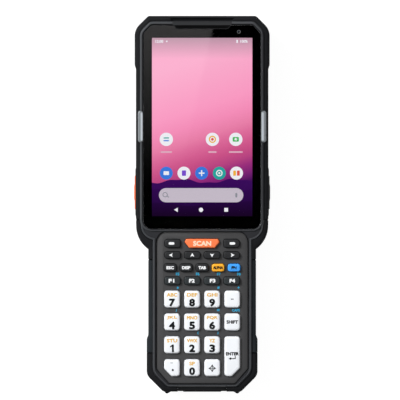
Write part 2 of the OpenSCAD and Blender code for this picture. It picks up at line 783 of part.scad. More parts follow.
module latch_block() {
    bevelled_ends(latch_block_end_y, latch_block_y, latch_block_z, split_z, hump_c)
        bevelled_bar(latch_block_x, latch_block_z, split_z, hump_c)
            block(-latch_block_x, latch_block_x, latch_block_end_y, latch_block_y,
                latch_block_z, back_z + TRIM);
}
module latch_pocket() {
    y0 = latch_block_end_y + latch_collar;
    y1 = latch_block_y - latch_wall;
    block(-latch_w / 2 - fit, latch_w / 2 + fit, y0, y1, -CUT, back_z - 0.4);
    block(-latch_w / 2 - latch_collar - fit, latch_w / 2 + latch_collar + fit, y0, y1,
        latch_step_z - 0.3, back_z - 0.4);
    block(-tongue_w / 2 - 0.2, tongue_w / 2 + 0.2, y1 - CUT, latch_block_y + CUT,
        tongue_z0 - 0.2, tongue_z1 + 0.2);
}

// ---- guards and strips ----

module top_bumper() color("#2f3032") {
    difference() {
        bevelled_bar(guard_x, band_low_z, band_z, edge_c)
            bevelled_ends(-BIG, half_len, band_low_z, band_z, edge_c)
                slab(band_low_z, band_z) difference() {
                    outline(head_outline);
                    outline(core(0));
                }
        // the bands are narrower than the corners, so their edges are bevelled by themselves
        mirrored() for (z = [band_low_z, band_z]) edge_cutter(head_x, z, band_end_y - CUT, guard_y);
        trigger_window();
        rocker_window();
        power_window();
        light_slot();
        window_plate(1, core_top_y - CUT, half_len + CUT);
        block(-bar_half + 1.5, bar_half - 1.5, core_top_y - CUT, core_top_y + scoop_d,
            rim_z - 2.2, rim_z + CUT);
    }
}

module bottom_bumper() color("#2f3032") {
    difference() {
        union() {
            bevelled_bar(foot_side_x, strip_low_z, strip_z, edge_c)
                bevelled_ends(foot_end_y, BIG, strip_low_z, strip_z, edge_c)
                    slab(strip_low_z, strip_z) difference() { outline(foot_outline); outline(core(0)); }
            mirrored() block(foot_x - foot_w / 2, foot_x + foot_w / 2, -half_len, foot_end_y + 2.4,
                split_z - 8, split_z - 8 + foot_h);
        }
        cover_notch();
        pin(hinge_pin_r + pin_clear, 2 * (notch_x + pin_grip + 0.2), cover_hinge_y, cover_hinge_z);
    }
}

module grip_strips() color("#2b2f32") {
    mirrored() difference() {
        bevelled_bar(foot_side_x, strip_low_z, strip_z, edge_c) slab(strip_low_z, strip_z)
            polygon([[core_grip_x, strip_end_y], [foot_side_x, strip_end_y],
                     [foot_side_x, strip_step_y - 2.5 * foot_proud], [grip_x, strip_step_y],
                     [grip_x, strip_top_y], [core_grip_x, strip_top_y]]);
        for (z = [strip_low_z, strip_z]) edge_cutter(grip_x, z, strip_step_y, strip_top_y + CUT);
    }
}

module receiver_bar() color("#333436") {
    difference() {
        slab(seat_z, rim_z - 0.3) bar_shape(0);
        for (i = [-5:5]) at([i * bar_half / 8, glass_top_y - 0.2], 0)
            slab(rim_z - 1.2, rim_z + CUT) rounded(1.4, 0.8, 0.39);
    }
}

module light_bars() color("#8e9397") {
    mirrored() slab(light_z, light_z + light_t) light_shape(0);
}

// ---- display ----

module display_glass() color("#0c0d0f") {
    difference() {
        slab(seat_z, glass_z) outline(glass_outline(0));
        slab(seat_z - CUT, glass_z + CUT) bar_shape(SEAT + 0.05);
    }
}
module display_panel() color("#1c1c22") {
    block(-view_w / 2 - panel_side, view_w / 2 + panel_side, view_y - view_l / 2 - panel_foot,
        view_y + view_l / 2 + panel_head, seat_z - panel_t, seat_z);
}

// ---- keypad ----

// Plan shape of a key, grown by d
module key_shape(k, d) {
    w = k[3] / 2 + d;
    l = k[4] / 2 + d;
    if (k[5] == "scan")
        outline([[w - scan_taper, -l], [w, l - scan_shoulder], [w - scan_corner, l]]);
    else if (k[5] == "corner_right")
        intersection() {
            rounded(2 * w, 2 * l, number_r);
            polygon([[-w, -l], [w - enter_cut, -l], [w, -l + enter_cut], [w, l], [-w, l]]);
        }
    else if (k[5] == "corner_left")
        intersection() {
            rounded(2 * w, 2 * l, number_r);
            polygon([[-w, -l + dot_cut], [-w + dot_cut, -l], [w, -l], [w, l], [-w, l]]);
        }
    else if (k[5] == "left" || k[5] == "right")
        mirror([k[5] == "left" ? 1 : 0, 0]) union() {
            translate([-w / 2, 0]) rounded(w, 2 * l, 0.8);
            rounded(2 * w, 2 * l, l - 0.3);
        }
    else
        rounded(2 * w, 2 * l, k[5] == "number" ? number_r : 0.9);
}

// A keycap: a body with bevelled upper edges over a collar that stays under the plate
module keycap(k) {
    top_z = plate_z + key_rise;
    low_z = collar_z - CUT - key_bevel;
    color(k[6]) translate([k[1], k[2], 0]) {
        bevelled_bar(k[3] / 2, low_z, top_z, key_bevel)
            bevelled_ends(-k[4] / 2, k[4] / 2, low_z, top_z, key_bevel)
                slab(collar_z - TRIM, top_z) key_shape(k, 0);
        slab(collar_z - collar_t, collar_z) key_shape(k, collar);
    }
}

module keypad_panel() color("#4b4b4c") {
    difference() {
        slab(ledge_z, plate_z) outline(plate_outline(0));
        for (k = KEYS) at([k[1], k[2]], 0) slab(ledge_z - CUT, plate_z + CUT) key_shape(k, key_gap);
    }
}
module mat_shape() {
    outline([[ledge_x - ledge_bevel, ledge_end_y + 0.8], [ledge_x + 1.2, ledge_end_y + ledge_bevel + 2],
             [ledge_x + 1.2, ledge_top_y - 0.4]]);
}
module keypad_mat() color("#5a5d60") {
    slab(mat_z, mat_z + mat_t) mat_shape();
    for (k = KEYS) at([k[1], k[2]], mat_z)
        cylinder(r = min(dome_r, k[4] / 2 - 0.4), h = dome_z - mat_z, $fn = 32);
}
module keypad_board() color("#1f5a38") { slab(board_z, mat_z) mat_shape(); }

// ---- inside ----

module main_board() color("#1f5a38") {
    top_z = main_z + board_t;
    difference() {
        slab(main_z, top_z) outline([
            [main_grip_x, core_end_y + 7.85], [main_grip_x, glass_end_y + 1.7], [main_x, glass_end_y + 7.7],
            [main_x, core_top_y - 27], [main_x - 6.5, core_top_y - 19]]);
        for (p = SCREWS) if (p[1] < camera_y - 1) at(p, main_z - CUT)
            cylinder(r = post_r + 0.4, h = board_t + 2 * CUT, $fn = 32);
    }
    block(-20, 4, view_y - 5, view_y + 27, top_z, top_z + can_h);
    block(8, 24, view_y - 11, view_y + 21, top_z, top_z + can_h - 0.4);
    block(-18, 18, band_end_y + 1, band_end_y + 29, top_z, top_z + can_h - 0.2);
    block(-7, 7, number_y - 5, number_y + 1, top_z, board_z);
}
module scan_engine() color("#2a2c30") {
    y = engine_front_y;
    difference() {
        block(-engine_w / 2, engine_w / 2, y - engine_l, y, engine_z, main_z - 1.6);
        translate([lens_x, y + 1, window_z]) rotate([90, 0, 0]) cylinder(r = lens_r + 0.4, h = 5, $fn = 48);
    }
    translate([lens_x, y + 1.3, window_z]) rotate([90, 0, 0]) cylinder(r = lens_r, h = 6.3, $fn = 48);
    block(3, 9, y, y + 0.8, window_z - 2.5, window_z + 2.5);
}
module scan_window() color("#5c0f12") { window_plate(0, core_top_y - window_t - 0.25, core_top_y - 0.25); }
module rear_camera() color("#191a1c") {
    for (c = [[camera_y, camera_r, 1.4, 5], [flash_y, flash_r, 0.5, 1.8]]) {
        at([-camera_x, c[0]], 0.6) cylinder(r = c[1], h = 3, $fn = 48);
        at([-camera_x, c[0]], 0) slab(deck_t + 0.3, deck_t + 0.4 + c[3])
            square(2 * (c[1] + c[2]), center = true);
    }
}
module speaker() color("#2a2b2d") {
    at([0, speaker_y], 0) slab(deck_t + 0.2, deck_t + 5.2) rounded(speaker_w, speaker_l, 3);
}
module usb_socket() color("#b9bcc0") {
    y = core_end_y + 0.9;
    shell_t = 0.4;
    difference() {
        block(-socket_w / 2, socket_w / 2, y, y + socket_l, socket_z, main_z);
        block(-socket_w / 2 + shell_t, socket_w / 2 - shell_t, y - CUT, y + socket_l - 1.6,
            socket_z + shell_t, main_z - shell_t);
    }
    block(-3.2, 3.2, y + 0.7, y + socket_l - 1, socket_z + socket_h / 2 - 0.3, socket_z + socket_h / 2 + 0.3);
}
module switch(x0, x1, y, l, h) { block(x0, x1, y - l / 2, y + l / 2, main_z - h, main_z); }
module side_switches() color("#a9adb1") {
    mirrored() switch(switch_x - 2.4, switch_x, trigger_y, 5, 4.2);
    for (d = [-1, 1]) switch(switch_x - 1.6, switch_x + 0.4, rocker_y + d * (rocker_l / 2 - 2), 3, 3.4);
    mirror([1, 0, 0]) switch(switch_x - 1.6, switch_x + 0.4, rocker_y, 4, 3.4);
}
module case_screws() color("#3b3d40") {
    for (p = SCREWS) at(p, 0) {
        difference() {
            at([0, 0], screw_seat_z - screw_head_h) cylinder(r = screw_head_r, h = screw_head_h, $fn = 48);
            at([0, 0], screw_seat_z - screw_head_h - CUT)
                cylinder(r = screw_r, h = screw_head_h / 2 + CUT, $fn = 6);
        }
        at([0, 0], screw_seat_z - TRIM) cylinder(r = screw_r, h = screw_top_z - screw_seat_z, $fn = 32);
    }
}

// ---- side controls ----

// A scan trigger on the right-hand side, with its collar inside the shell and its stem
module trigger() {
    z0 = trigger_z - trigger_h / 2;
    z1 = trigger_z + trigger_h / 2;
    l = trigger_l / 2;
    x = trigger_out_x;
    translate([0, trigger_y, 0]) {
        intersection() {
            slab(z0, z1) polygon([
                [trigger_in_x - TRIM, -l], [x - swell - 0.7, -l], [x - swell - 0.05, -l + 0.6],
                [x - swell, -l + swell_in], [x, -l + swell_in + 1.5], [x, l - swell_in - 1.5],
                [x - swell, l - swell_in], [x - swell - 0.05, l - 0.6], [x - swell - 0.7, l],
                [trigger_in_x - TRIM, l]]);
            rotate([90, 0, 0]) translate([0, 0, -l]) linear_extrude(2 * l)
                polygon([[0, z0], [x - 1.2, z0], [x, z0 + 1.2], [x, z1 - 1.2], [x - 1.2, z1], [0, z1]]);
        }
        block(trigger_in_x - trigger_collar_t, trigger_in_x, -l - trigger_collar, l + trigger_collar,
            z0 - trigger_collar, z1 + trigger_collar);
        block(switch_x + trigger_travel + switch_gap, trigger_in_x - trigger_collar_t + TRIM, -2.4, 2.4,
            split_z - 2.4, split_z + 0.6);
    }
}
module scan_trigger_right() color("#232426") trigger();
module scan_trigger_left() color("#ff6a33") mirror([1, 0, 0]) trigger();

module volume_rocker() color("#232426") {
    l = rocker_l / 2;
    face_x = head_x - 0.1;
    half = concat(
        [[rocker_x - 0.9, -1.6], [rocker_x - 0.9, -l + 3.4], [switch_x + 1, -l + 3.4],
         [switch_x + 1, -l + 0.8], [head_x - 0.4, -l + 0.3]],
        [for (q = [[0, -l + 2.3], [bump, -l + 3], [bump, -l + 4.2], [0, -l + 4.9]]) [face_x + q[0], q[1]]]);
    translate([0, rocker_y, 0]) {
        slab(side_key_z, side_key_z + side_key_h) polygon(concat(half, flip(half)));
        translate([rocker_x, 0, side_key_z - rocker_pivot_l])
            cylinder(r = rocker_pivot_r, h = side_key_h + 2 * rocker_pivot_l, $fn = 32);
    }
}

module power_button() color("#232426") mirror([1, 0, 0]) {
    l = power_l / 2;
    face_x = head_x - 0.1;
    translate([0, rocker_y, 0]) {
        slab(side_key_z, side_key_z + side_key_h) polygon([
            [trigger_in_x - TRIM, -l], [face_x - 0.9, -l], [face_x, -l + 0.9],
            [face_x, l - 0.9], [face_x - 0.9, l], [trigger_in_x - TRIM, l]]);
        block(trigger_in_x - 1.4, trigger_in_x, -l - 0.9, l + 0.9,
            side_key_z - 0.9, side_key_z + side_key_h + 0.9);
        block(switch_x + 0.4 + power_travel + switch_gap, trigger_in_x - 1.3, -1.5, 1.5,
            side_key_z + 0.4, side_key_z + side_key_h - 1.4);
    }
}

// ---- battery ----

module battery_pack() color("#2a2b2d") {
    difference() {
        union() {
            bevelled_ends(pack_end_y, pack_top_y, 0, split_z, hump_c / 2)
                bevelled_bar(pack_w / 2, 0, split_z, hump_c) union() {
                    block(-pack_w / 2, pack_w / 2, pack_end_y, pivot_y - 3.5, 0, back_z - 0.15);
                    block(-pack_w / 2, pack_w / 2, pivot_y - 3.5 - TRIM, pack_top_y, 0, pivot_z + 3.2);
                }
            block(-cell_w / 2, cell_w / 2, cell_end_y, pivot_y - 1.5, back_z - 0.2, cell_z);
            pin(pivot_r, 2 * (lug_in_x + 1.3), pivot_y, pivot_z);
        }
        block(-tongue_w / 2 - 0.6, tongue_w / 2 + 0.6, pack_end_y - CUT, pack_end_y + latch_travel - 0.6,
            tongue_z0 - 0.6, tongue_z1 + 0.6);
    }
}
module battery_latch() color("#3a3c3f") {
    y0 = latch_block_end_y + latch_collar + fit;
    y1 = y0 + latch_l;
    difference() {
        union() {
            block(-latch_w / 2, latch_w / 2, y0, y1, latch_low_z, latch_step_z);
            block(-latch_w / 2 - latch_collar, latch_w / 2 + latch_collar, y0, y1,
                latch_step_z, back_z - 0.6);
            block(-tongue_w / 2, tongue_w / 2, y1 - TRIM, latch_block_y - 0.3, tongue_z0, tongue_z1);
        }
        for (i = [-1:1]) block(-latch_w / 3, latch_w / 3, y0 + latch_l / 2 + i * 2.4 - 0.6,
            y0 + latch_l / 2 + i * 2.4 + 0.6, 0, latch_low_z + 0.6);
    }
}
module battery_contacts() color("#c9a24a") {
    block(-contact_w / 2, contact_w / 2, hump_y - contact_l, hump_y - 0.1, main_z - 12, main_z);
    for (i = [-1.5:1:1.5])
        block(i * 3.6 - 0.8, i * 3.6 + 0.8, pivot_y - 0.9, hump_y - contact_l, main_z - 10, main_z - 7);
}

// ---- port cover ----

module port_cover() color("#26282a") {
    difference() {
        union() {
            rotate([90, 0, 90]) translate([0, 0, -cover_w / 2]) linear_extrude(cover_w) polygon([
                [cover_in_y, cover_hinge_z], [cover_in_y, cover_top_z], [cover_out_y + 1.1, cover_top_z],
                [cover_out_y, cover_top_z - 1.1], [cover_out_y, cover_hinge_z + 1],
                [cover_hinge_y, cover_hinge_z]]);
            pin(barrel_r, cover_w, cover_hinge_y, cover_hinge_z);
            block(-plug_w / 2, plug_w / 2, core_end_y - 0.2, core_end_y + 0.7, socket_z + 0.2, main_z - 0.8);
        }
        pin(hinge_pin_r + pin_clear, cover_w + 2, cover_hinge_y, cover_hinge_z);
    }
}
module port_hinge_pin() color("#b9bcc0") {
    pin(hinge_pin_r, 2 * (notch_x + pin_grip), cover_hinge_y, cover_hinge_z);
}

front_housing();
rear_housing();
top_bumper();
bottom_bumper();
grip_strips();
receiver_bar();
light_bars();
display_glass();
display_panel();
keypad_panel();
keypad_mat();
keypad_board();
main_board();
scan_engine();
scan_window();
rear_camera();
speaker();
battery_pack();
battery_latch();
battery_contacts();
usb_socket();
scan_trigger_left();
scan_trigger_right();
volume_rocker();
power_button();
port_cover();
port_hinge_pin();
side_switches();
case_screws();
for (k = KEYS) keycap(k);
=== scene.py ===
# %% [markdown]
# # A portable barcode terminal
#
# A data terminal is a phone-like computer with a long keypad under its display. It has a hard shell, soft
# guards at both ends, a glass over the display, and thirty-one keys that stand through a plate. This lesson
# dresses the plain CAD solids: the shell, the guards, the glass and the keys are rebuilt as rounded meshes,
# and every other solid keeps its shape and gets a finish.

# %% Load the frame
from math import acos, cos, pi, radians, sin, tan

import bmesh
import bpy
from mathutils import Matrix, Vector


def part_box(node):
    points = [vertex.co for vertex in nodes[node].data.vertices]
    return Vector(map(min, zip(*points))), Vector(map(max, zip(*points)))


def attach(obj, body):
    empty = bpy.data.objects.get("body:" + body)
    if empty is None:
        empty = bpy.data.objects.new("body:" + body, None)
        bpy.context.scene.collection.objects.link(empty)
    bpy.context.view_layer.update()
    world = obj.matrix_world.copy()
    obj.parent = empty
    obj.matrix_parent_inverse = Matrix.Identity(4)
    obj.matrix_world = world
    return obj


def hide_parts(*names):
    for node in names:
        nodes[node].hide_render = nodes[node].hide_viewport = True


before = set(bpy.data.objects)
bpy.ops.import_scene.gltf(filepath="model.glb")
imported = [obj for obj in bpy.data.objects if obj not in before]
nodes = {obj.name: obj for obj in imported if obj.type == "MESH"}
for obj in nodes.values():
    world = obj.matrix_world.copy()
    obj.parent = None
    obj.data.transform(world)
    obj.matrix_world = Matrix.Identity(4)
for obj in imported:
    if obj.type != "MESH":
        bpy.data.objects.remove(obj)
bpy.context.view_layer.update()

# %% [markdown]
# ## Units and sizes
#
# Blender works in metres here, and a terminal is easier to think of in millimetres. Every size below is
# written in millimetres and turned into metres where a mesh is made. The sizes that the solids already have
# are read from their boxes, so that the pieces fit them.

# %% Sizes in millimetres
MM = 0.001


def span(node):
    """Lowest and highest corner of a solid, in millimetres."""
    low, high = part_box(node)
    return [v / MM for v in low], [v / MM for v in high]


glass_low, glass_high = span("display_glass")
plate_low, plate_high = span("keypad_panel")
shell_low, shell_high = span("front_housing")
guard_low, guard_high = span("top_bumper")
foot_low, foot_high = span("bottom_bumper")
strip_low, strip_high = span("grip_strips")
bar_low = span("receiver_bar")[0]
light_low, light_high = span("light_bars")
seat_z, glass_z = glass_low[2], glass_high[2]
rim_z, split_z, plate_z = shell_high[2], shell_low[2], plate_high[2]
print(f"glass {glass_high[0] * 2:.1f} x {glass_high[1] - glass_low[1]:.1f} mm, rim at {rim_z:.1f} mm")

# %% [markdown]
# ## Camera
#
# The terminal lies on its back and the camera hangs straight above it on a long lens, so that it shows hardly
# any perspective.

# %% Camera
camera_height = 4.0
frame_width = 0.233
aim_x, aim_y = -0.00125, 0.00284
lens = bpy.data.cameras.new("camera")
lens.sensor_width = 36
lens.lens = lens.sensor_width * (camera_height - rim_z * MM) / frame_width
camera = bpy.data.objects.new("camera", lens)
camera.location = (aim_x, aim_y, camera_height)
bpy.context.scene.collection.objects.link(camera)
bpy.context.scene.camera = camera
bpy.context.scene.view_settings.view_transform = "Standard"
print(f"lens {lens.lens:.0f} mm")

# %% [markdown]
# ## Nodes and colours
#
# Materials and the sky are trees of nodes. Two small functions are enough to write any of them: one fills
# the sockets of a node with numbers, colours or links, and the other adds a node and fills it. Colours are
# written as hex codes and turned into the linear values that the shaders use.


# %% Helpers for nodes and colours
def feed(node, sockets):
    """Sets the sockets of a node to values, or links them to the outputs that feed them."""
    for name, value in sockets.items():
        if isinstance(value, bpy.types.NodeSocket):
            node.id_data.links.new(value, node.inputs[name])
        else:
            node.inputs[name].default_value = value
    return node


def add(tree, kind, sockets=None, **settings):
    """Adds a node with its settings and what feeds its sockets."""
    node = tree.nodes.new(kind)
    for name, value in settings.items():
        setattr(node, name, value)
    return feed(node, sockets or {})


def linear(code):
    """A hex colour as linear values."""
    values = [int(code[i : i + 2], 16) / 255 for i in (1, 3, 5)]
    return [v / 12.92 if v <= 0.04045 else ((v + 0.055) / 1.055) ** 2.4 for v in values] + [1.0]


def new_material(name):
    """A new material with its node tree and its shader."""
    material = bpy.data.materials.new(name)
    material.use_nodes = True
    return material, material.node_tree, material.node_tree.nodes["Principled BSDF"]


print("orange as linear values:", [round(v, 3) for v in linear("#ff6a33")])

# %% [markdown]
# ## Light
#
# A product photographer hangs one big soft lamp over the table and a smaller one to the side. Here the sky
# is the big lamp: it is brightest overhead and falls off towards the horizon, so that flat faces are bright
# and the sides of the terminal turn dark. The eye, a mirror or a pane sees that sky as plain white.


# %% Sky and lamp
def to_camera(tree):
    """1 for rays from the eye, a mirror or a pane, and 0 for the light that falls on a surface."""
    path = add(tree, "ShaderNodeLightPath").outputs
    seen = {0: path["Is Camera Ray"], 1: path["Is Glossy Ray"]}
    seen = add(tree, "ShaderNodeMath", seen, operation="MAXIMUM").outputs[0]
    seen = {0: seen, 1: path["Is Transmission Ray"]}
    return add(tree, "ShaderNodeMath", seen, operation="MAXIMUM").outputs[0]


sky_horizon, sky_overhead = 0.2, 0.47
world = bpy.data.worlds.new("studio")
bpy.context.scene.world = world
world.use_nodes = True
sky_tree = world.node_tree
upward = add(sky_tree, "ShaderNodeTexCoord").outputs["Generated"]
upward = add(sky_tree, "ShaderNodeSeparateXYZ", {"Vector": upward}).outputs["Z"]
dome = {"Value": upward, "To Min": sky_horizon, "To Max": sky_overhead}
dome = add(sky_tree, "ShaderNodeMapRange", dome).outputs["Result"]
level = {"Factor": to_camera(sky_tree), "A": dome, "B": 1.0}
level = add(sky_tree, "ShaderNodeMix", level).outputs["Result"]
feed(sky_tree.nodes["Background"], {"Color": (1, 1, 1, 1), "Strength": level})

lamp_place = Vector((-1.5, 1.1, 1.3))
light = bpy.data.lights.new("lamp_upper_left", "AREA")
light.size, light.energy = 0.7, 64
lamp = bpy.data.objects.new("lamp_upper_left", light)
lamp.location = lamp_place
lamp.rotation_euler = (-lamp_place).to_track_quat("-Z", "Y").to_euler()
bpy.context.scene.collection.objects.link(lamp)
print("one lamp and a white sky")

# %% [markdown]
# ## Meshes from outlines
#
# Almost every piece of a terminal is a flat outline with height: a guard, a key, a pane. One helper can make
# them all. It takes an outline whose corners carry their own radius, and a profile of pairs of inset and
# height. At each height it moves the edges inwards by the inset, rounds the corners, and joins the rings.
# The last number of a corner says how much of the inset the next edge takes, so that an edge that lies
# against another piece can stay put.


# %% Outlines with rounded corners
def ring(outline, inset, steps=5):
    """Points of a closed outline of (x, y, radius, share), anticlockwise, moved inwards and rounded."""
    points = []
    for i, (x, y, radius, share) in enumerate(outline):
        before, after = outline[i - 1], outline[(i + 1) % len(outline)]
        e0 = Vector((x - before[0], y - before[1])).normalized()
        e1 = Vector((after[0] - x, after[1] - y)).normalized()
        n0, n1 = Vector((-e0.y, e0.x)), Vector((-e1.y, e1.x))
        d0, d1 = inset * before[3], inset * share
        turn = e0.x * e1.y - e0.y * e1.x
        if abs(turn) < 1e-3:
            points.append(Vector((x, y)) + n0 * d0)
            continue
        corner = Vector((x, y)) + Vector((d0 * n1.y - d1 * n0.y, n0.x * d1 - n1.x * d0)) / turn
        if radius <= 0:
            points.append(corner)
            continue
        side = 1 if turn > 0 else -1
        r = max(0.04, radius - side * (d0 + d1) / 2)
        angle = acos(max(-1.0, min(1.0, e0.dot(e1))))
        start = corner - e0 * (r * tan(angle / 2))
        centre = start + n0 * (r * side)
        for k in range(steps + 1):
            v = start - centre
            v.rotate(Matrix.Rotation(side * angle * k / steps, 2))
            points.append(centre + v)
    return points


def both_sides(right):
    """A whole outline from its right-hand side, which goes from the lower to the upper end."""
    shares = [c[3] for c in right]
    left = [(-x, y, r, shares[max(0, len(right) - 2 - i)]) for i, (x, y, r, _) in enumerate(reversed(right))]
    return list(right) + left


def box_outline(x0, x1, y0, y1, radius=0.0):
    """A rectangle whose corners share one radius."""
    return [(x0, y0, radius, 1), (x1, y0, radius, 1), (x1, y1, radius, 1), (x0, y1, radius, 1)]


def arc(x, y, radius, a0, a1, share=1, count=12):
    """Points on an arc, for an outline."""
    turns = [a0 + (a1 - a0) * k / count for k in range(count + 1)]
    return [(x + radius * cos(a), y + radius * sin(a), 0, share) for a in turns]


print(f"{len(ring(box_outline(0, 9, 0, 9, 2), 0))} points round a rounded square")

# %% [markdown]
# A stack of such rings, one above the other, is a closed mesh with its faces outwards.


# %% Objects from rings
def add_mesh(name, vertices, faces):
    """An object from points in millimetres."""
    mesh = bpy.data.meshes.new(name)
    mesh.from_pydata([(x * MM, y * MM, z * MM) for x, y, z in vertices], [], faces)
    mesh.validate()
    thing = bpy.data.objects.new(name, mesh)
    bpy.context.scene.collection.objects.link(thing)
    return thing


def stack(name, outline, profile, closed=False, steps=5):
    """Rings of an outline joined in order; closed joins the last to the first, instead of two caps."""
    rings = [[(p.x, p.y, z) for p in ring(outline, inset, steps)] for inset, z in profile]
    count, last = len(rings[0]), len(rings) - 1
    faces = []
    for low, high in [(k, k + 1) for k in range(last)] + ([(last, 0)] if closed else []):
        for i in range(count):
            j = (i + 1) % count
            faces.append((low * count + i, low * count + j, high * count + j, high * count + i))
    if not closed:
        faces += [tuple(reversed(range(count))), tuple(range(last * count, (last + 1) * count))]
    return add_mesh(name, [p for points in rings for p in points], faces)


def block(x0, x1, y0, y1, z0, z1):
    """A plain box, for a cutter or a part of a piece."""
    return stack("block", box_outline(x0, x1, y0, y1), [(0, z0), (0, z1)])


def rounded_edge(radius, z, steps=4, up=True):
    """Profile pairs for a quarter-round edge that ends at height z."""
    turns = [pi / 2 * k / steps for k in range(steps + 1)]
    pairs = [(radius * (1 - cos(t)), z - (1 if up else -1) * radius * (1 - sin(t))) for t in turns]
    return pairs if up else pairs[::-1]


def cushion_edge(z):
    """Profile pairs for a soft guard, which rolls off over most of its width."""
    return [(0, z - 1.9), (0.05, z - 1.4), (0.22, z - 1.0), (0.6, z - 0.62), (1.2, z - 0.25), (1.9, z)]


print("stacking helpers ready")

# %% [markdown]
# Holes, gaps and trays are cut with the Boolean modifier, and the modifier is turned into plain geometry
# straight away. A piece on the left is the mirror image of the one on the right.


# %% Cutting, joining and mirroring
def bake(thing):
    """Turns the modifiers into plain geometry."""
    mesh = bpy.data.meshes.new_from_object(thing.evaluated_get(bpy.context.evaluated_depsgraph_get()))
    thing.modifiers.clear()
    thing.data = mesh
    return thing


def join(name, *things):
    """One object with the geometry of several."""
    work = bmesh.new()
    for thing in things:
        work.from_mesh(thing.data)
        bpy.data.objects.remove(thing)
    joined = add_mesh(name, [], [])
    work.to_mesh(joined.data)
    work.free()
    return joined


def with_mirror(name, thing):
    """A piece and its mirror image as one object."""
    twin = add_mesh(name, [], [])
    twin.data = thing.data.copy()
    twin.data.transform(Matrix.Scale(-1, 4, (1, 0, 0)))
    twin.data.flip_normals()
    return join(name, thing, twin)


def cut(thing, *cutters):
    """Takes the cutters out of a piece."""
    tool = join("cutter", *cutters)
    change = thing.modifiers.new("cut", "BOOLEAN")
    change.operation, change.object, change.solver = "DIFFERENCE", tool, "EXACT"
    change.use_self = True
    bake(thing)
    bpy.data.objects.remove(tool)
    return thing


def smooth(thing, angle=38):
    """Smooth shading, with edges sharper than the angle kept."""
    thing.data.shade_smooth()
    thing.data.set_sharp_from_angle(angle=radians(angle))
    return thing


print("cutting helpers ready")

# %% [markdown]
# ## Moulded finishes
#
# Moulded plastic is never quite even: the mould is spark-eroded, which leaves a fine grain, and the colour
# and gloss wander a little over the width of a thumb. Rubber is the same with a coarser, duller grain. One
# recipe makes them all. Object coordinates are used because every piece has its place in its mesh, so a grain
# runs on from one piece to the next. A real grain of 0.05 to 0.1 mm is too fine to show in the render, so it
# is drawn three or four times as coarse.


# %% Recipe for moulded parts
def wander(tree, size_mm, low, high):
    """A value that drifts between two levels, in patches of this size."""
    where = add(tree, "ShaderNodeTexCoord").outputs["Object"]
    noise = add(tree, "ShaderNodeTexNoise", {"Vector": where, "Scale": 1 / (size_mm * MM)}).outputs["Fac"]
    level = {"Value": noise, "To Min": low, "To Max": high}
    return add(tree, "ShaderNodeMapRange", level).outputs["Result"]


def moulded(name, code, roughness, grain_mm, depth_mm, specular, blotch=0.04, ior=1.5):
    """Colour in faint clouds, gloss in smaller patches, and a fine grain as bump."""
    cloud_mm, patch_mm, swing = 9, 3, 0.1
    material, tree, skin = new_material(name)
    where = add(tree, "ShaderNodeTexCoord").outputs["Object"]
    cloud = add(tree, "ShaderNodeTexNoise", {"Vector": where, "Scale": 1 / (cloud_mm * MM), "Detail": 4.0})
    cloud = {"Value": cloud.outputs["Fac"], "From Min": 0.3, "From Max": 0.7}
    cloud = add(tree, "ShaderNodeMapRange", cloud).outputs["Result"]
    colour = linear(code)
    pale = [min(1.0, c * (1 + blotch)) for c in colour[:3]] + [1]
    deep = [c * (1 - blotch) for c in colour[:3]] + [1]
    tint = add(tree, "ShaderNodeMix", {"Factor": cloud, "A": deep, "B": pale}, data_type="RGBA")
    grain = add(tree, "ShaderNodeTexNoise", {"Vector": where, "Scale": 1 / (grain_mm * MM), "Detail": 3.0})
    bump = {"Height": grain.outputs["Fac"], "Strength": 0.6, "Distance": depth_mm * MM}
    bump = add(tree, "ShaderNodeBump", bump)
    feed(
        skin,
        {
            "Base Color": tint.outputs["Result"],
            "Roughness": wander(tree, patch_mm, roughness - swing, roughness + swing),
            "Normal": bump.outputs["Normal"],
            "IOR": ior,
            "Specular IOR Level": specular,
        },
    )
    return material


FINISHES = {}

# %% Hard plastics of the case
# Glass-filled polycarbonate, moulded in a spark-eroded tool: an even charcoal with a faint grain.
FINISHES["housing_plastic"] = moulded("charcoal_polycarbonate", "#292a2d", 0.5, 0.35, 0.03, 0.1)
# The same plastic on the raised rim and rails, paler as a painted highlight, with a soft shine.
painted_highlight_polycarbonate = moulded("painted_highlight_polycarbonate", "#424447", 0.42, 0.3, 0.02, 0.1)
# And painted darker, as painted shade, on the slope beside the glass.
painted_shade_polycarbonate = moulded("painted_shade_polycarbonate", "#1e1f21", 0.6, 0.35, 0.03, 0.05)
# ABS of the earpiece bar: smooth and a little darker than the rim.
FINISHES["trim_plastic"] = moulded("satin_abs", "#27282a", 0.42, 0.3, 0.02, 0.2)
# ABS of the keypad plate: mid grey, with a matt grain that hides finger marks.
FINISHES["plate_plastic"] = moulded("matt_grey_abs", "#3e3e3f", 0.55, 0.3, 0.03, 0.2)
# ABS of the small controls and the battery case: near black, and slightly rubbed.
FINISHES["control_plastic"] = moulded("black_abs", "#18191b", 0.45, 0.35, 0.03, 0.3)
FINISHES["battery_plastic"] = moulded("battery_abs", "#1d1e20", 0.55, 0.45, 0.04, 0.3)
# Liquid-crystal polymer of the sensor modules: hard, dark and plain.
FINISHES["module_plastic"] = moulded("module_polymer", "#1b1c1e", 0.45, 0.4, 0.02, 0.3)
FINISHES["display_module"] = moulded("display_polymer", "#0c0c0f", 0.4, 0.6, 0.01, 0.2)
print(f"{len(FINISHES)} hard plastics")

# %% Soft parts
# Thermoplastic elastomer, moulded over the shell: a dead, matt black that takes the knocks.
FINISHES["guard_rubber"] = moulded("guard_elastomer", "#191a1c", 0.7, 0.5, 0.05, 0.06, 0.08, 1.52)
# The port cover is the same elastomer painted paler: painted light on its top, which sits low in shade.
FINISHES["cover_rubber"] = moulded("cover_elastomer_painted_paler", "#38393b", 0.7, 0.45, 0.05, 0.04, 0.08, 1.52)
# A softer grade on the grip: slightly blue, with the finest bloom of handling.
FINISHES["grip_rubber"] = moulded("grip_elastomer", "#24282b", 0.7, 0.45, 0.06, 0.05, 0.08, 1.52)
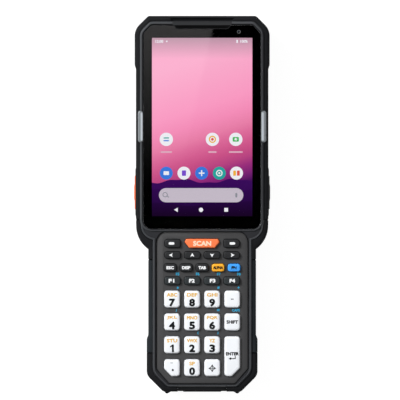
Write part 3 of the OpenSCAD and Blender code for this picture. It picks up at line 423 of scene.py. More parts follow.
# Silicone of the dome mat: milky grey, never shiny.
FINISHES["mat_silicone"] = moulded("grey_silicone", "#53565a", 0.7, 0.6, 0.04, 0.3, 0.04, 1.41)
print("guards, grips and mat")

# %% Keys, trigger and board
# Keycaps of polycarbonate, coloured in the mass: clean colours and a soft satin shine.
FINISHES["key_white"] = moulded("white_polycarbonate", "#f1f4f8", 0.5, 0.3, 0.012, 0.3, 0.012)
FINISHES["key_black"] = moulded("black_polycarbonate", "#1e1f21", 0.5, 0.3, 0.012, 0.2)
slate_polycarbonate = moulded("slate_polycarbonate", "#282d2f", 0.5, 0.3, 0.012, 0.2)
FINISHES["key_orange"] = moulded("orange_polycarbonate", "#fa7c48", 0.5, 0.3, 0.012, 0.3, 0.02)
FINISHES["key_yellow"] = moulded("yellow_polycarbonate", "#fbb02a", 0.5, 0.3, 0.012, 0.3, 0.02)
FINISHES["key_blue"] = moulded("blue_polycarbonate", "#3d9ff8", 0.5, 0.3, 0.012, 0.3, 0.02)
# The left trigger is ABS in signal orange, so that a thumb finds it.
FINISHES["trigger_orange"] = moulded("signal_orange_abs", "#ff6a33", 0.42, 0.35, 0.02, 0.3, 0.02)
# Glass-epoxy board under green solder mask: the weave shows as a fine mottle.
FINISHES["circuit_board"] = moulded("green_glass_epoxy", "#1c5434", 0.4, 1.2, 0.02, 0.5, 0.15)
# Acrylic of the light bars, loaded with white so that it spreads its light.
FINISHES["lens_plastic"] = moulded("milky_acrylic", "#777c80", 0.3, 0.5, 0.01, 0.5, 0.02, 1.49)
print(f"{len(FINISHES)} moulded finishes")

# %% [markdown]
# ## Metal, glass, ink and light
#
# Metal is a bare colour whose gloss varies with its brushed or stamped grain. Glass is clear, so its colour
# is what passes through it. Print is a thin matt ink. A lit picture gives light of its own and mirrors none,
# because the glass above it does that.


# %% Metals and glass
def metal(name, code, roughness, grain_mm):
    """Bare metal whose gloss swings from grain to grain."""
    material, tree, skin = new_material(name)
    gloss = wander(tree, grain_mm, roughness - 0.15, roughness + 0.15)
    feed(skin, {"Metallic": 1.0, "Base Color": linear(code), "Roughness": gloss})
    return material


def clear(name, code, roughness, ior):
    """Glass or clear plastic, with a trace of haze in patches as wide as a thumb."""
    material, tree, skin = new_material(name)
    haze = wander(tree, 20, roughness, roughness + 0.02)
    feed(skin, {"Base Color": linear(code), "Transmission Weight": 1.0, "IOR": ior, "Roughness": haze})
    return material


# Gold-plated brass of the battery contacts: a warm, slightly scuffed shine.
FINISHES["contact_brass"] = metal("plated_brass", "#c9a24a", 0.3, 0.3)
# Stamped stainless steel of the socket, the pin and the switches.
FINISHES["steel"] = metal("stamped_stainless", "#b9bcc0", 0.32, 0.4)
# Zinc-nickel plated steel screws: dark and satin.
FINISHES["screw_steel"] = metal("black_zinc_steel", "#4a4c50", 0.4, 0.3)
# Aluminosilicate glass, fire-polished: a perfect mirror for grazing light.
FINISHES["cover_glass"] = clear("aluminosilicate_glass", "#ffffff", 0.0, 1.5)
# Cast acrylic, dyed deep red, in front of the scan engine.
FINISHES["scan_glass"] = clear("red_acrylic", "#7a1418", 0.02, 1.49)
print(f"{len(FINISHES)} finishes in all")


# %% Inks and light
def ink(name, code, roughness=0.6, specular=0.1):
    """Screen-printed ink: flat colour whose gloss follows the mesh of the screen, about 0.4 mm."""
    material, tree, skin = new_material(name)
    weave = wander(tree, 0.4, roughness - 0.1, roughness + 0.1)
    feed(skin, {"Base Color": linear(code), "Roughness": weave, "Specular IOR Level": specular})
    return material


def lit(name, code):
    """A patch of a lit display."""
    material, tree, skin = new_material(name)
    feed(skin, {"Base Color": (0, 0, 0, 1), "Specular IOR Level": 0.0})
    feed(skin, {"Emission Color": linear(code), "Emission Strength": 1.0})
    return material


# Ceramic ink fired on the underside of the glass: black, with no gloss of its own.
border_ink = ink("fired_black_ink", "#020202", 0.7, 0.0)
# The inside of a slot or a mesh, where no light comes back.
slot_shadow = ink("slot_shadow", "#060607", 0.8, 0.0)
print("inks ready")


# %% Helpers that finish a piece
def paint(thing, *materials):
    """Gives a piece these materials and no others."""
    thing.data.materials.clear()
    for material in materials:
        thing.data.materials.append(material)
    return thing


def place(thing, slot, body="housing", replaces=()):
    """Finish from the slot unless already painted, body, and the solids that a new piece stands for."""
    if not thing.data.materials:
        paint(thing, FINISHES[slot])
    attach(thing, body)
    if replaces:
        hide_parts(*replaces)
    return thing


print("finishing helpers ready")

# %% [markdown]
# ## Outlines of the shell
#
# The hard shell, the guards and the rim all follow the same few lines: a wide head with bevelled corners, a
# curved shoulder on each side, and a narrower grip with a bevelled lower end. They are written once, from
# the lower end to the upper end of the right-hand side. On the shoulder the shell keeps clear of the edge,
# because a soft band runs there too.

# %% Lines of the shell
# Half widths of the guard and the shell at the head, and of the strip and the shell at the grip.
head_x, core_x, grip_x, core_grip_x = 38.6, 36.35, 31.4, 28.9
core_top_y, core_end_y = shell_high[1], shell_low[1]
strip_top_y, strip_end_y = strip_high[1], strip_low[1]
band_end_y, guard_end_y = guard_low[1], guard_high[1]
# Both arcs of a shoulder band end at one level: the wide one outside, and the tight one inside.
shoulder_y, shoulder_r, band_r = glass_low[1] + 1.6, 16.8, 8.5
band_x = 35.7
# Half the width of the joint between two soft parts.
seam = 0.27


def shoulder(top_x, radius, end_x, share=1):
    """The shoulder line that leaves top_x with this radius, from its lower end at end_x to its upper end."""
    centre_x = top_x - radius
    return arc(centre_x, shoulder_y, radius, -acos((end_x - centre_x) / radius), 0, share)


def mirrored(points, share):
    """The same points on the left-hand side, all with one share."""
    return [(-x, y, r, share) for x, y, r, _ in points]


# A bevel of 45 degrees is set by the sum of its distances across and along from the middle.
foot_sum, head_sum, glass_sum = 126.71, 137.22, 134.03
foot_corner = core_grip_x - core_end_y - foot_sum
top_corner = core_x + core_top_y - head_sum
foot_corners = [
    (core_grip_x - foot_corner, core_end_y, 2, 1),
    (core_grip_x, core_end_y + foot_corner, 6.2, 1),
]
head_corners = [
    (core_x, core_top_y - top_corner, 6.1, 1),
    (core_x - top_corner, core_top_y, 2, 1),
]
core_side = foot_corners + shoulder(band_x, band_r, core_grip_x) + [(core_x, band_end_y, 0, 1)] + head_corners
core = both_sides(core_side)
print(f"{len(ring(core, 0))} points round the shell")

# %% Lines of the glass and the plate
glass_x, glass_end_y = glass_high[0], glass_low[1] - 0.3
glass_corner = glass_x + glass_high[1] - glass_sum
glass_outline = both_sides(
    [
        (glass_x, glass_end_y, 5, 1),
        (glass_x, glass_high[1] - glass_corner, 3.9, 1),
        (glass_x - glass_corner, glass_high[1], 1.5, 1),
    ]
)
plate_x, plate_end_y = plate_high[0], plate_low[1]
plate_bevel_x, plate_bevel_y, plate_r = 7.53, 8.63, 1.6
plate_outline = both_sides(
    [
        (plate_x - plate_bevel_x, plate_end_y, plate_r, 1),
        (plate_x, plate_end_y + plate_bevel_y, plate_r, 1),
        (plate_x, plate_high[1], 6.5, 1),
    ]
)
print(f"plate {plate_x * 2:.1f} x {plate_high[1] - plate_end_y:.1f} mm")

# %% [markdown]
# ## Front shell
#
# The front shell is one moulding: a tray for the glass, a tray for the keypad plate, and the shoulders
# between them. It is stacked from its outline with a rounded upper edge, and then hollowed and cut, as the
# mould does: from below for the room inside, from above for the two trays, and from the sides for the
# controls. The raised rim round the glass and the rails beside the plate are pieces of their own.


# %% Openings for the controls
# How much of each control stays hidden in the shell: at its ends, and below and above.
HIDDEN = {
    "scan_trigger_left": (1.0, 1.0),
    "scan_trigger_right": (1.0, 1.0),
    "volume_rocker": (0.0, 1.3),
    "power_button": (0.9, 0.9),
}
hole_room, hole_depth, outside_x = 0.25, 7.0, 45
lens_w, lens_r, lens_room = 3, 1.45, 0.1


def side_holes():
    """Cutters for the four controls in the sides, each a quarter of a millimetre larger all round."""
    holes = []
    for node, (end, edge) in HIDDEN.items():
        low, high = span(node)
        side = 1 if high[0] > 0 else -1
        x0, x1 = sorted((side * (core_x - hole_depth), side * outside_x))
        y0, y1 = low[1] + end - hole_room, high[1] - end + hole_room
        holes.append(block(x0, x1, y0, y1, low[2] + edge - hole_room, high[2] - edge + hole_room))
    return holes


def lens_outline(room):
    """Outline of the right-hand light bar, with some room all round."""
    x0, x1 = light_high[0] - lens_w - room, light_high[0] + room
    return box_outline(x0, x1, light_low[1] - room, light_high[1] + room, lens_r)


def light_slots():
    """Cutter for both light bars."""
    return with_mirror("slots", stack("slot", lens_outline(lens_room), [(0, light_low[2]), (0, rim_z + 2)]))


print("cutters for four controls and two light bars")

# %% Stack and cut the front shell
wall, shell_top_z, room_top_z, above_z = 2.3, rim_z - 0.8, rim_z - 5.5, rim_z + 1
front_shell = stack("front_shell", core, [(0, split_z)] + rounded_edge(0.8, shell_top_z))
cut(front_shell, stack("room", core, [(wall, split_z - 1), (wall, room_top_z)]))
# A negative inset makes a tray a little larger than the piece that lies in it.
cut(front_shell, stack("glass_tray", glass_outline, [(-0.1, seat_z), (-0.1, above_z)]))
cut(front_shell, stack("plate_tray", plate_outline, [(-0.5, plate_low[2]), (-0.5, above_z)]))
# The rest of the plate's seat is a ledge, with a hole inside it for the rubber mat.
ledge_x, ledge_end_y, ledge_top_y, ledge_bevel = plate_x - 2.2, plate_end_y + 3.2, plate_high[1] - 2, 5.4
ledge = [
    (ledge_x - ledge_bevel, ledge_end_y, 0, 1),
    (ledge_x, ledge_end_y + ledge_bevel, 0, 1),
    (ledge_x, ledge_top_y, 0, 1),
]
cut(front_shell, stack("mat_hole", both_sides(ledge), [(0, rim_z - 6), (0, plate_low[2] + 0.5)]))
(x0, y0, _), (x1, y1, _) = span("display_panel")
x0, x1, y0, y1 = x0 - 0.25, x1 + 0.25, y0 - 0.25, y1 + 0.25
cut(front_shell, block(x0, x1, y0, y1, rim_z - 7, seat_z + 1))
cut(front_shell, *side_holes())
cut(front_shell, light_slots())
socket_x, socket_low_z, socket_high_z = 5.6, 17.6, 22.1
cut(front_shell, block(-socket_x, socket_x, core_end_y - 1, core_end_y + 3.3, socket_low_z, socket_high_z))
smooth(front_shell)
place(front_shell, "housing_plastic", replaces=["front_housing"])
print(f"front shell: {len(front_shell.data.polygons)} faces")

# %% [markdown]
# The rim goes once round the glass and is thinner along the lower edge: first a slope painted darker as
# shade, then a ridge painted paler as a highlight. Both stop beside the earpiece, and a hairline joint parts
# them level with the lower end of the top guard.

# %% Rim round the glass
rim_foot_z, crest_z = seat_z + 0.3, rim_z - 0.06
slope = [(-0.1, rim_foot_z), (-0.1, glass_z - 0.1), (-0.8, crest_z), (-0.8, rim_foot_z)]
ridge = [(-0.8, rim_foot_z), (-0.8, crest_z), (-0.95, rim_z), (-1.35, rim_z), (-1.6, rim_z - 0.15)]
ridge += [(-2.2, rim_z - 1.0), (-2.2, rim_foot_z)]
lower_share, ear_gap_x, hairline = 0.7, 17.2, 0.1
rim_outline = [(x, y, r, lower_share if y == glass_end_y else s) for x, y, r, s in glass_outline]
# Painted shade on the slope and a painted highlight on the ridge: two copies of one plastic.
RIM = (("rim_slope", slope, painted_shade_polycarbonate), ("rim_ridge", ridge, painted_highlight_polycarbonate))
for name, profile, finish in RIM:
    rim = stack(name, rim_outline, profile, closed=True, steps=8)
    ear_gap = block(-ear_gap_x, ear_gap_x, bar_low[1] - 1, core_top_y + 2, seat_z - 1, above_z)
    cut(rim, ear_gap, light_slots())
    joint = block(33, 40, band_end_y - hairline, band_end_y + hairline, rim_z - 0.8, above_z)
    cut(rim, with_mirror("joint", joint))
    paint(smooth(rim, 25), finish)
    place(rim, "housing_plastic")
    print(f"{name}: {len(rim.data.polygons)} faces")

# %% [markdown]
# The rails are the same ridge round the keypad. They follow the shoulders to the rim, and at the lower end
# they lie over the edge of the guard as a lip, with a joint on each side of the port cover and one where each
# grip strip ends.

# %% Rails round the keypad
lip, rail_bevel, set_back, rail_w, rail_gap = 0.1, 8.9, 0.05, 1.2, 0.85
rail_out = [
    (core_grip_x - rail_bevel, core_end_y - lip, 2, 1),
    (core_grip_x - set_back, core_end_y - lip + rail_bevel, 8, 1),
]
rail_out += shoulder(band_x - set_back, band_r - set_back, core_grip_x - set_back)
rail_out.append((core_x - 0.15, band_end_y - seam, 0, 0.2))
rail_in = [
    (plate_x - 6.7, plate_end_y - rail_gap, 1.6, 0.5),
    (plate_x + rail_gap, plate_end_y + 6.8, 7, 0.5),
]
rail_in += shoulder(band_x - rail_w, band_r - rail_w, plate_x + rail_gap, 0.5)
rail_in.append((core_x - rail_w, band_end_y - seam, 0, 0.5))
rail_line = rail_out + rail_in[::-1] + mirrored(rail_in[:-1], 0.5)
rail_line += mirrored(rail_in[-1:], 0.2) + mirrored(rail_out[::-1], 1)
rail_edge = [(0, rim_z - 1.6), (0.04, rim_z - 1.05), (0.18, rim_z - 0.6), (0.4, rim_z - 0.4)]
rails = stack("keypad_rails", rail_line, rail_edge)
cover_x, strip_y = 14.07, -86.28
cover_joint = block(cover_x - hairline, cover_x + hairline, -112, plate_end_y, rim_z - 2, above_z)
strip_joint = block(24, 40, strip_y - hairline, strip_y + hairline, rim_z - 1.1, above_z)
cut(rails, with_mirror("joint", cover_joint), with_mirror("joint", strip_joint))
# The rails take the paler copy, a painted highlight on their ridge.
paint(smooth(rails, 25), painted_highlight_polycarbonate)
place(rails, "housing_plastic")
print(f"rails: {len(rails.data.polygons)} faces")

# %% [markdown]
# ## Guards, bands and grip strips
#
# The soft parts are moulded over the shell. The top guard is one long U: thin bands down both sides and a
# thick stretch over the display end, which takes the knocks. The bands swell a little round the triggers.
# Shoulder bands and grip strips carry the line on to the bottom guard. Outer edges roll off over most of
# their width, and a thin joint, darkened by painted shade at its bottom, shows wherever two of them meet.

# %% Top guard
def soft_profile(low_z, high_z):
    """A soft part that is rounded below and rolls off above."""
    return rounded_edge(1.5, low_z, up=False) + cushion_edge(high_z)


guard_x, guard_bevel = guard_high[0], 7.9
slant_low_y, slant_high_y = guard_end_y - 30.95, guard_end_y - 28.55
trigger_low, trigger_high = span("scan_trigger_right")
mound_low_y, mound_high_y = trigger_low[1] - 3.3, trigger_high[1] + 3.8
mound, mound_ramp = 0.33, 1.5
inner_head = [
    (core_x, band_end_y + seam, 0, 0.1),
    (core_x, core_top_y - top_corner, 6.1, 0.1),
    (core_x - top_corner, core_top_y, 2, 0.1),
]
outer_head = [
    (head_x, band_end_y + seam, 0.3, 1),
    (head_x, mound_low_y, 0, 1),
    (head_x + mound, mound_low_y + mound_ramp, 0, 1),
    (head_x + mound, mound_high_y - mound_ramp, 0, 1),
    (head_x, mound_high_y, 0, 1),
    (head_x, slant_low_y, 2, 1),
    (guard_x, slant_high_y, 2, 1),
    (guard_x, guard_end_y - guard_bevel, 9.2, 1),
    (guard_x - guard_bevel, guard_end_y, 2.5, 1),
]
head_line = both_sides(outer_head)
head_line[-1] = (*head_line[-1][:3], 0.05)
head_line += mirrored(inner_head, 0.1) + inner_head[::-1]
head_line[-1] = (*head_line[-1][:3], 0.05)
top_guard = stack("top_guard", head_line, soft_profile(guard_low[2], guard_high[2]), steps=8)
cut(top_guard, *side_holes())
cut(top_guard, light_slots())
(x0, _, z0), (x1, _, z1) = span("scan_window")
cut(top_guard, block(x0 - 1, x1 + 1, core_top_y - 1, 115, z0 - 1, z1 + 1))
# A shallow scoop in the guard above the earpiece.
scoop_low_y, scoop_high_y = core_top_y - 1, core_top_y + 1.8
scoop = [(-17, scoop_low_y, 0, 1), (17, scoop_low_y, 0, 1)]
scoop += [(19.2, scoop_high_y, 0.5, 1), (-19.2, scoop_high_y, 0.5, 1)]
cut(top_guard, stack("scoop", scoop, [(0.7, rim_z - 2.3), (0, rim_z - 1.2), (0, above_z)]))
smooth(top_guard)
place(top_guard, "guard_rubber", replaces=["top_bumper"])
print(f"top guard: {len(top_guard.data.polygons)} faces")

# %% Bottom guard with its two feet
foot_x, foot_end_y, foot_bevel = foot_high[0] + 0.2, foot_low[1] + 1.3, 9.6
outer_foot = [
    (foot_x - foot_bevel, foot_end_y, 2.5, 1),
    (foot_x, foot_end_y + foot_bevel, 6, 1),
    (foot_x, strip_end_y - seam, 0, 0.05),
]
inner_foot = [(x, y, r, 0.1) for x, y, r, _ in foot_corners] + [(core_grip_x, strip_end_y - seam, 0, 0.1)]
foot_line = outer_foot + inner_foot[::-1] + mirrored(inner_foot[:-1], 0.1)
foot_line += mirrored(inner_foot[-1:], 0.05) + mirrored(outer_foot[::-1], 1)
bottom_guard = stack("bottom_guard", foot_line, soft_profile(foot_low[2], foot_high[2]), steps=8)
cover_low, cover_high = span("port_cover")
notch_x = cover_high[0] + 0.15
cut(bottom_guard, block(-notch_x, notch_x, -115, core_end_y + 0.2, cover_low[2] - 0.2, above_z))
# A foot is a small wedge below each bevel, with its tip at the very end of the terminal.
tip_x = foot_x - 10 - (foot_end_y - foot_low[1]) + 0.05
foot = [
    (18, foot_end_y + 1.9, 0, 1),
    (18, foot_end_y - 0.05, 0.3, 1),
    (tip_x - 0.8, foot_low[1], 0.4, 1),
    (tip_x, foot_low[1], 0.3, 1),
    (tip_x + 2.2, foot_end_y + 0.9, 0.3, 1),
    (tip_x + 1.6, foot_end_y + 1.9, 0, 1),
]
tip_low_z, tip_high_z = 12.0, 24.0
foot = stack("foot", foot, rounded_edge(0.5, tip_low_z, up=False) + rounded_edge(0.5, tip_high_z))
bottom_guard = join("bottom_guard", bottom_guard, with_mirror("feet", foot))
smooth(bottom_guard)
place(bottom_guard, "guard_rubber", replaces=["bottom_bumper"])
print(f"bottom guard: {len(bottom_guard.data.polygons)} faces")

# %% Shoulder bands and grip strips
band = [(grip_x, strip_top_y + seam, 0, 1)] + shoulder(head_x - 0.1, shoulder_r, grip_x)
band += [(head_x, band_end_y - seam, 0.3, 0.05), (core_x, band_end_y - seam, 0, 0.1)]
band += shoulder(band_x, band_r, core_grip_x, 0.1)[::-1] + [(core_grip_x, strip_top_y + seam, 0, 0.05)]
bands = with_mirror("shoulder_bands", stack("band", band, [(0, split_z)] + cushion_edge(guard_high[2])))
place(smooth(bands), "guard_rubber")
flare_end_y, flare_top_y = strip_end_y + 8.2, strip_end_y + 10.5
strip = [
    (core_grip_x, strip_end_y + seam, 0, 0.05),
    (foot_x, strip_end_y + seam, 0, 1),
    (foot_x, flare_end_y, 3, 1),
    (grip_x, flare_top_y, 3, 1),
    (grip_x, strip_top_y - seam, 0.3, 0.05),
    (core_grip_x, strip_top_y - seam, 0, 0.1),
]
strip = stack("strip", strip, soft_profile(strip_low[2], strip_high[2]))
grips = smooth(with_mirror("grip_rubber_strips", strip))
place(grips, "grip_rubber", replaces=["grip_strips"])
print("bands and strips")

# %% Webs of painted shade at the bottom of the joints
JOINTS = [
    (band_end_y, core_x, head_x),
    (strip_top_y, core_grip_x, grip_x),
    (strip_end_y, core_grip_x, foot_x),
]
web_low_z, web_high_z = split_z + 1, guard_high[2] - 1.9
webs = [block(x0 - 0.2, x1 - 0.25, y - 0.3, y + 0.3, web_low_z, web_high_z) for y, x0, x1 in JOINTS]
webs = with_mirror("joint_shade_webs", join("joint_shade_webs", *webs))
# Near-black ink on each web is painted shade deep in its joint.
place(paint(webs, slot_shadow), "guard_rubber")
print(f"{len(JOINTS)} webs on each side")

# %% [markdown]
# ## Display
#
# The glass lies a little below the rim. Its border is printed black on the underside, and the lit picture
# shows through the clear middle. The display module lies right below, so the glass here starts a fifth of a
# millimetre higher than the solid does, which leaves room for the border and the picture.

# %% Glass with a bevelled edge
notch_y, notch_rise, notch_low_x, notch_high_x = bar_low[1] - 0.15, 2.9, 14.05, 16.75
beyond_y = 112


def earpiece_notch(room):
    """Cutter for the earpiece in the upper edge of the glass, with some room all round."""
    right = [
        (notch_low_x + room, notch_y - room, 0, 1),
        (notch_high_x + room, notch_y + notch_rise, 0, 1),
        (notch_high_x + room, beyond_y, 0, 1),
    ]
    return stack("notch", both_sides(right), [(0, seat_z - 1), (0, above_z)])


pane_z = seat_z + 0.2
pane = [(0.05, pane_z), (0, pane_z + 0.05), (0, glass_z - 0.1), (0.03, glass_z - 0.03), (0.1, glass_z)]
glass = stack("cover_glass", glass_outline, pane, steps=10)
cut(glass, earpiece_notch(0))
smooth(glass, 8)
place(glass, "cover_glass", replaces=["display_glass"])

# The border is a thin plate of ink with a window for the picture.
view_x, view_low_y, view_high_y = 29.25, -6.65, 97.35
border = stack("printed_border", glass_outline, [(0.1, seat_z + 0.15), (0.1, seat_z + 0.18)], steps=10)
cut(border, earpiece_notch(0.15))
cut(border, block(-view_x, view_x, view_low_y, view_high_y, seat_z - 1, rim_z))
paint(border, border_ink)
place(border, "display_module")
print(f"view {view_x * 2:.1f} x {view_high_y - view_low_y:.1f} mm")

# %% [markdown]
# Prints and pictures are flat shapes: bars, discs, rings and words. A helper for each gives its points and
# faces, and one more joins them into a mesh, at the height that a function asks for.


# %% Flat shapes
def flat(points, colour):
    return list(points), [tuple(range(len(points)))], colour


def disc(x, y, radius, colour, sides=28):
    turns = [2 * pi * k / sides for k in range(sides)]
    return flat([(x + radius * cos(a), y + radius * sin(a)) for a in turns], colour)


def bar(x, y, width, height, radius, colour):
    outline = box_outline(x - width / 2, x + width / 2, y - height / 2, y + height / 2, radius)
    return flat([(p.x, p.y) for p in ring(outline, 0)], colour)


def hoop(x, y, radius, thickness, colour, a0=0.0, a1=360.0, sides=32):
    """An open or closed ring, as one strip of faces."""
    turns = [radians(a0 + (a1 - a0) * k / sides) for k in range(sides + 1)]
    points = [(x + r * cos(t), y + r * sin(t)) for t in turns for r in (radius - thickness, radius)]
    return points, [(2 * k, 2 * k + 1, 2 * k + 3, 2 * k + 2) for k in range(sides)], colour


def words(text, x, y, height, colour, width=None):
    """Lettering centred on x, y, in the font that comes with Blender, with its capitals that high."""
    curve = bpy.data.curves.new("words", "FONT")
    curve.body, curve.resolution_u = text, 3
    holder = bpy.data.objects.new("words", curve)
    bpy.context.scene.collection.objects.link(holder)
    mesh = bpy.data.meshes.new_from_object(holder.evaluated_get(bpy.context.evaluated_depsgraph_get()))
    points = [v.co.copy() for v in mesh.vertices]
    faces = [tuple(p.vertices) for p in mesh.polygons]
    bpy.data.objects.remove(holder)
    x0, x1 = min(p.x for p in points), max(p.x for p in points)
    y0, y1 = min(p.y for p in points), max(p.y for p in points)
    up = height / (y1 - y0)
    along = width / (x1 - x0) if width else up
    points = [(x + (p.x - (x0 + x1) / 2) * along, y + (p.y - (y0 + y1) / 2) * up) for p in points]
    return points, faces, colour


def bold(shape, reach):
    """The same lettering with thicker strokes: copies moved in eight directions, each a little higher."""
    points, faces, colour = shape
    moves = [(0, 0)] + [(reach * cos(pi * k / 4), reach * sin(pi * k / 4)) for k in range(8)]
    copies = [(x + dx, y + dy, 0.001 * k) for k, (dx, dy) in enumerate(moves) for x, y in points]
    return copies, [tuple(i + k * len(points) for i in f) for k in range(9) for f in faces], colour


def print_shapes(name, shapes, height, inks):
    """One mesh of flat shapes; height gives the z of a point, and its third value, if any, lifts it more."""
    vertices, faces, colours = [], [], []
    for points, polygons, colour in shapes:
        first = len(vertices)
        vertices += [(x, y, height(x, y) + sum(lift)) for x, y, *lift in points]
        faces += [tuple(first + i for i in polygon) for polygon in polygons]
        colours += [list(inks).index(colour)] * len(polygons)
    thing = paint(add_mesh(name, vertices, faces), *inks.values())
    thing.data.polygons.foreach_set("material_index", colours)
    work = bmesh.new()
    work.from_mesh(thing.data)
    for face in work.faces:
        face.normal_update()
        if face.normal.z < 0:
            face.normal_flip()
    work.to_mesh(thing.data)
    work.free()
    return thing


print("print helpers ready")

# %% [markdown]
# ## The picture
#
# The display shows a home page of no particular maker: an evening sky over low hills, a few round marks, a
# search field and the time. The sky is one sheet with a colour ramp. Such a ramp needs no image: the place of
# a point on the object goes through a map range into a row of colour stops, leaning a little to one side.


# %% Sheets of light
def glow(name, stops, low_y, high_y, lean=0.0, veil=False):
    """Light whose colour changes along the terminal; a veil greys it towards the upper end."""
    material, tree, skin = new_material(name)
    where = add(tree, "ShaderNodeTexCoord").outputs["Object"]
    axes = add(tree, "ShaderNodeSeparateXYZ", {"Vector": where}).outputs
    leaning = add(tree, "ShaderNodeMath", {0: axes["X"], 1: lean, 2: axes["Y"]}, operation="MULTIPLY_ADD")
    along = {"Value": leaning.outputs[0], "From Min": low_y * MM, "From Max": high_y * MM}
    along = add(tree, "ShaderNodeMapRange", along)
    ramp = add(tree, "ShaderNodeValToRGB", {"Fac": along.outputs["Result"]})
    while len(ramp.color_ramp.elements) < len(stops):
        ramp.color_ramp.elements.new(0.5)
    for element, (stop, code) in zip(ramp.color_ramp.elements, stops):
        element.position, element.color = stop, linear(code)
    light = ramp.outputs["Color"]
    if veil:
        veil_low_y, veil_high_y, veil_depth = 85, 97, 0.6
        fade = {"From Min": veil_low_y * MM, "From Max": veil_high_y * MM, "To Max": veil_depth}
        fade["Value"] = axes["Y"]
        fade = add(tree, "ShaderNodeMapRange", fade).outputs["Result"]
        light = add(tree, "ShaderNodeMix", {"Factor": fade}, data_type="RGBA")
        feed(light, {"A": ramp.outputs["Color"], "B": linear("#7c8286")})
        light = light.outputs["Result"]
    feed(skin, {"Base Color": (0, 0, 0, 1), "Specular IOR Level": 0.0})
    feed(skin, {"Emission Color": light, "Emission Strength": 1.04})
    return material


SKY = [
    (0.110, "#3c0f55"),
    (0.150, "#702070"),
    (0.180, "#872877"),
    (0.210, "#9a2f7c"),
    (0.255, "#b94582"),
    (0.305, "#cb5288"),
    (0.350, "#d65f92"),
    (0.400, "#e16f9e"),
    (0.445, "#eb80aa"),
    (0.520, "#f78eba"),
    (0.610, "#fd9cc5"),
    (0.880, "#feb1d1"),
]
sheet_z = seat_z + 0.02
page = [(-view_x, view_low_y), (view_x, view_low_y), (view_x, view_high_y), (-view_x, view_high_y)]
sky_light = glow("evening_sky", SKY, view_low_y, view_high_y, -0.32, veil=True)
sky_sheet = print_shapes("picture_sky", [flat(page, "sky")], lambda x, y: sheet_z, {"sky": sky_light})
place(sky_sheet, "display_module")
print(f"{len(SKY)} stops in the sky")


# %% Hills
def ridge_line(level, swing, waves, phase, count=40):
    """A soft hill line across the view, closed along its lower edge."""
    tops = []
    for k in range(count + 1):
        a = waves * pi * k / count
        y = level + swing * sin(a + phase) + 0.35 * swing * sin(2.7 * a + 2 * phase)
        tops.append((-view_x + 2 * view_x * k / count, y))
    return [(-view_x, view_low_y), (view_x, view_low_y)] + tops[::-1]


HILLS = [
    (13.9, 1.1, 3.7, 4.5, "#2b0a45", "#3a0d5c"),
    (8.0, 1.2, 2.2, 0.4, "#210838", "#310b50"),
    (1.2, 1.4, 1.5, 3.0, "#180524", "#26083f"),
]
for index, (level, swing, waves, phase, low_code, high_code) in enumerate(HILLS):
    name, z = f"picture_hill_{index + 1}", sheet_z + 0.02 * (index + 1)
    light = glow(name + "_light", [(0.0, low_code), (1.0, high_code)], view_low_y, level + swing)
    hill = flat(ridge_line(level, swing, waves, phase), "hill")
    place(print_shapes(name, [hill], lambda x, y: z, {"hill": light}), "display_module")
print(f"{len(HILLS)} hills")

# %% Round marks, search field and status line
LIGHTS = {
    "white": lit("light_white", "#f4f4fa"),
    "lilac": lit("light_lilac", "#c9bfcc"),
    "rose": lit("light_rose", "#e2b3c6"),
    "teal": lit("light_teal", "#2aa7a0"),
    "blue": lit("light_blue", "#3c7be0"),
    "green": lit("light_green", "#4bb860"),
    "amber": lit("light_amber", "#f3b13a"),
    "red": lit("light_red", "#e2584a"),
    "grey": lit("light_grey", "#8c8f98"),
    "violet": lit("light_violet", "#7a4fd0"),
}
top_row, dock_row, field_y, bar_y, status_y = 38.2, 18.5, 5.64, -2.87, 95.3
top_x = (-20.9, 6.0, 19.6)
dock_x = (-20.9, -10.6, -0.3, 10.0, 20.0)
marks = [disc(x, top_row, 3.9, "white") for x in top_x]
marks += [bar(x, top_row - 7.4, w, 0.9, 0.3, "rose") for x, w in zip(top_x, (6.6, 4.8, 8.0))]
marks += [disc(x, dock_row, 3.8, c) for x, c in zip(dock_x, ("blue", "white", "blue", "teal", "white"))]
marks.append(bar(-0.6, field_y, 49.2, 8.3, 4.1, "lilac"))
marks += [bold(words("12:00", -25.0, status_y, 1.6, "white"), 0.07), disc(-20.6, status_y, 0.45, "white")]
marks.append(bar(20.4, status_y, 0.95, 1.8, 0.2, "white"))
marks.append(bold(words("100%", 24.4, status_y, 1.5, "white"), 0.07))
marks.append(flat([(-16.4, bar_y), (-14.2, bar_y - 1.3), (-14.2, bar_y + 1.3)], "white"))
marks += [disc(-0.67, bar_y, 1.25, "white"), bar(14.0, bar_y, 2.2, 2.2, 0.2, "white")]
place(print_shapes("picture_marks", marks, lambda x, y: sheet_z + 0.08, LIGHTS), "display_module")
print(f"{len(marks)} marks")

# %% Glyphs on the marks
lines_x, target_x, badge_x = top_x
glyphs = [bar(lines_x, top_row + up, 3.2, 0.7, 0.2, c) for up, c in ((0.8, "teal"), (-0.8, "blue"))]
glyphs += [hoop(target_x, top_row, 2.1, 0.7, "amber"), disc(target_x, top_row, 0.8, "red")]
glyphs += [bar(badge_x, top_row, 3.6, 2.7, 0.5, "green"), disc(badge_x, top_row, 0.8, "white")]
note_x, page_x, plus_x, ring_x, books_x = dock_x
glyphs += [bar(note_x, dock_row, 3.2, 2.2, 0.4, "white"), bar(page_x, dock_row, 2.4, 3.2, 0.4, "violet")]
glyphs += [bar(plus_x, dock_row, w, h, 0.2, "white") for w, h in ((3.4, 0.7), (0.7, 3.4))]
glyphs += [hoop(ring_x, dock_row, 1.9, 0.6, "white"), disc(ring_x, dock_row, 0.6, "white")]
glyphs += [bar(books_x + dx, dock_row, 1.6, 3.0, 0.3, c) for dx, c in ((-1.1, "amber"), (1.1, "red"))]
glyphs += [hoop(-21.6, field_y + 0.3, 1.5, 0.45, "grey"), bar(19.9, field_y, 1.2, 2.7, 0.6, "grey")]
handle = [(-20.6, field_y - 0.5), (-19.6, field_y - 1.5), (-19.2, field_y - 1.1), (-20.2, field_y - 0.1)]
glyphs.append(flat(handle, "grey"))
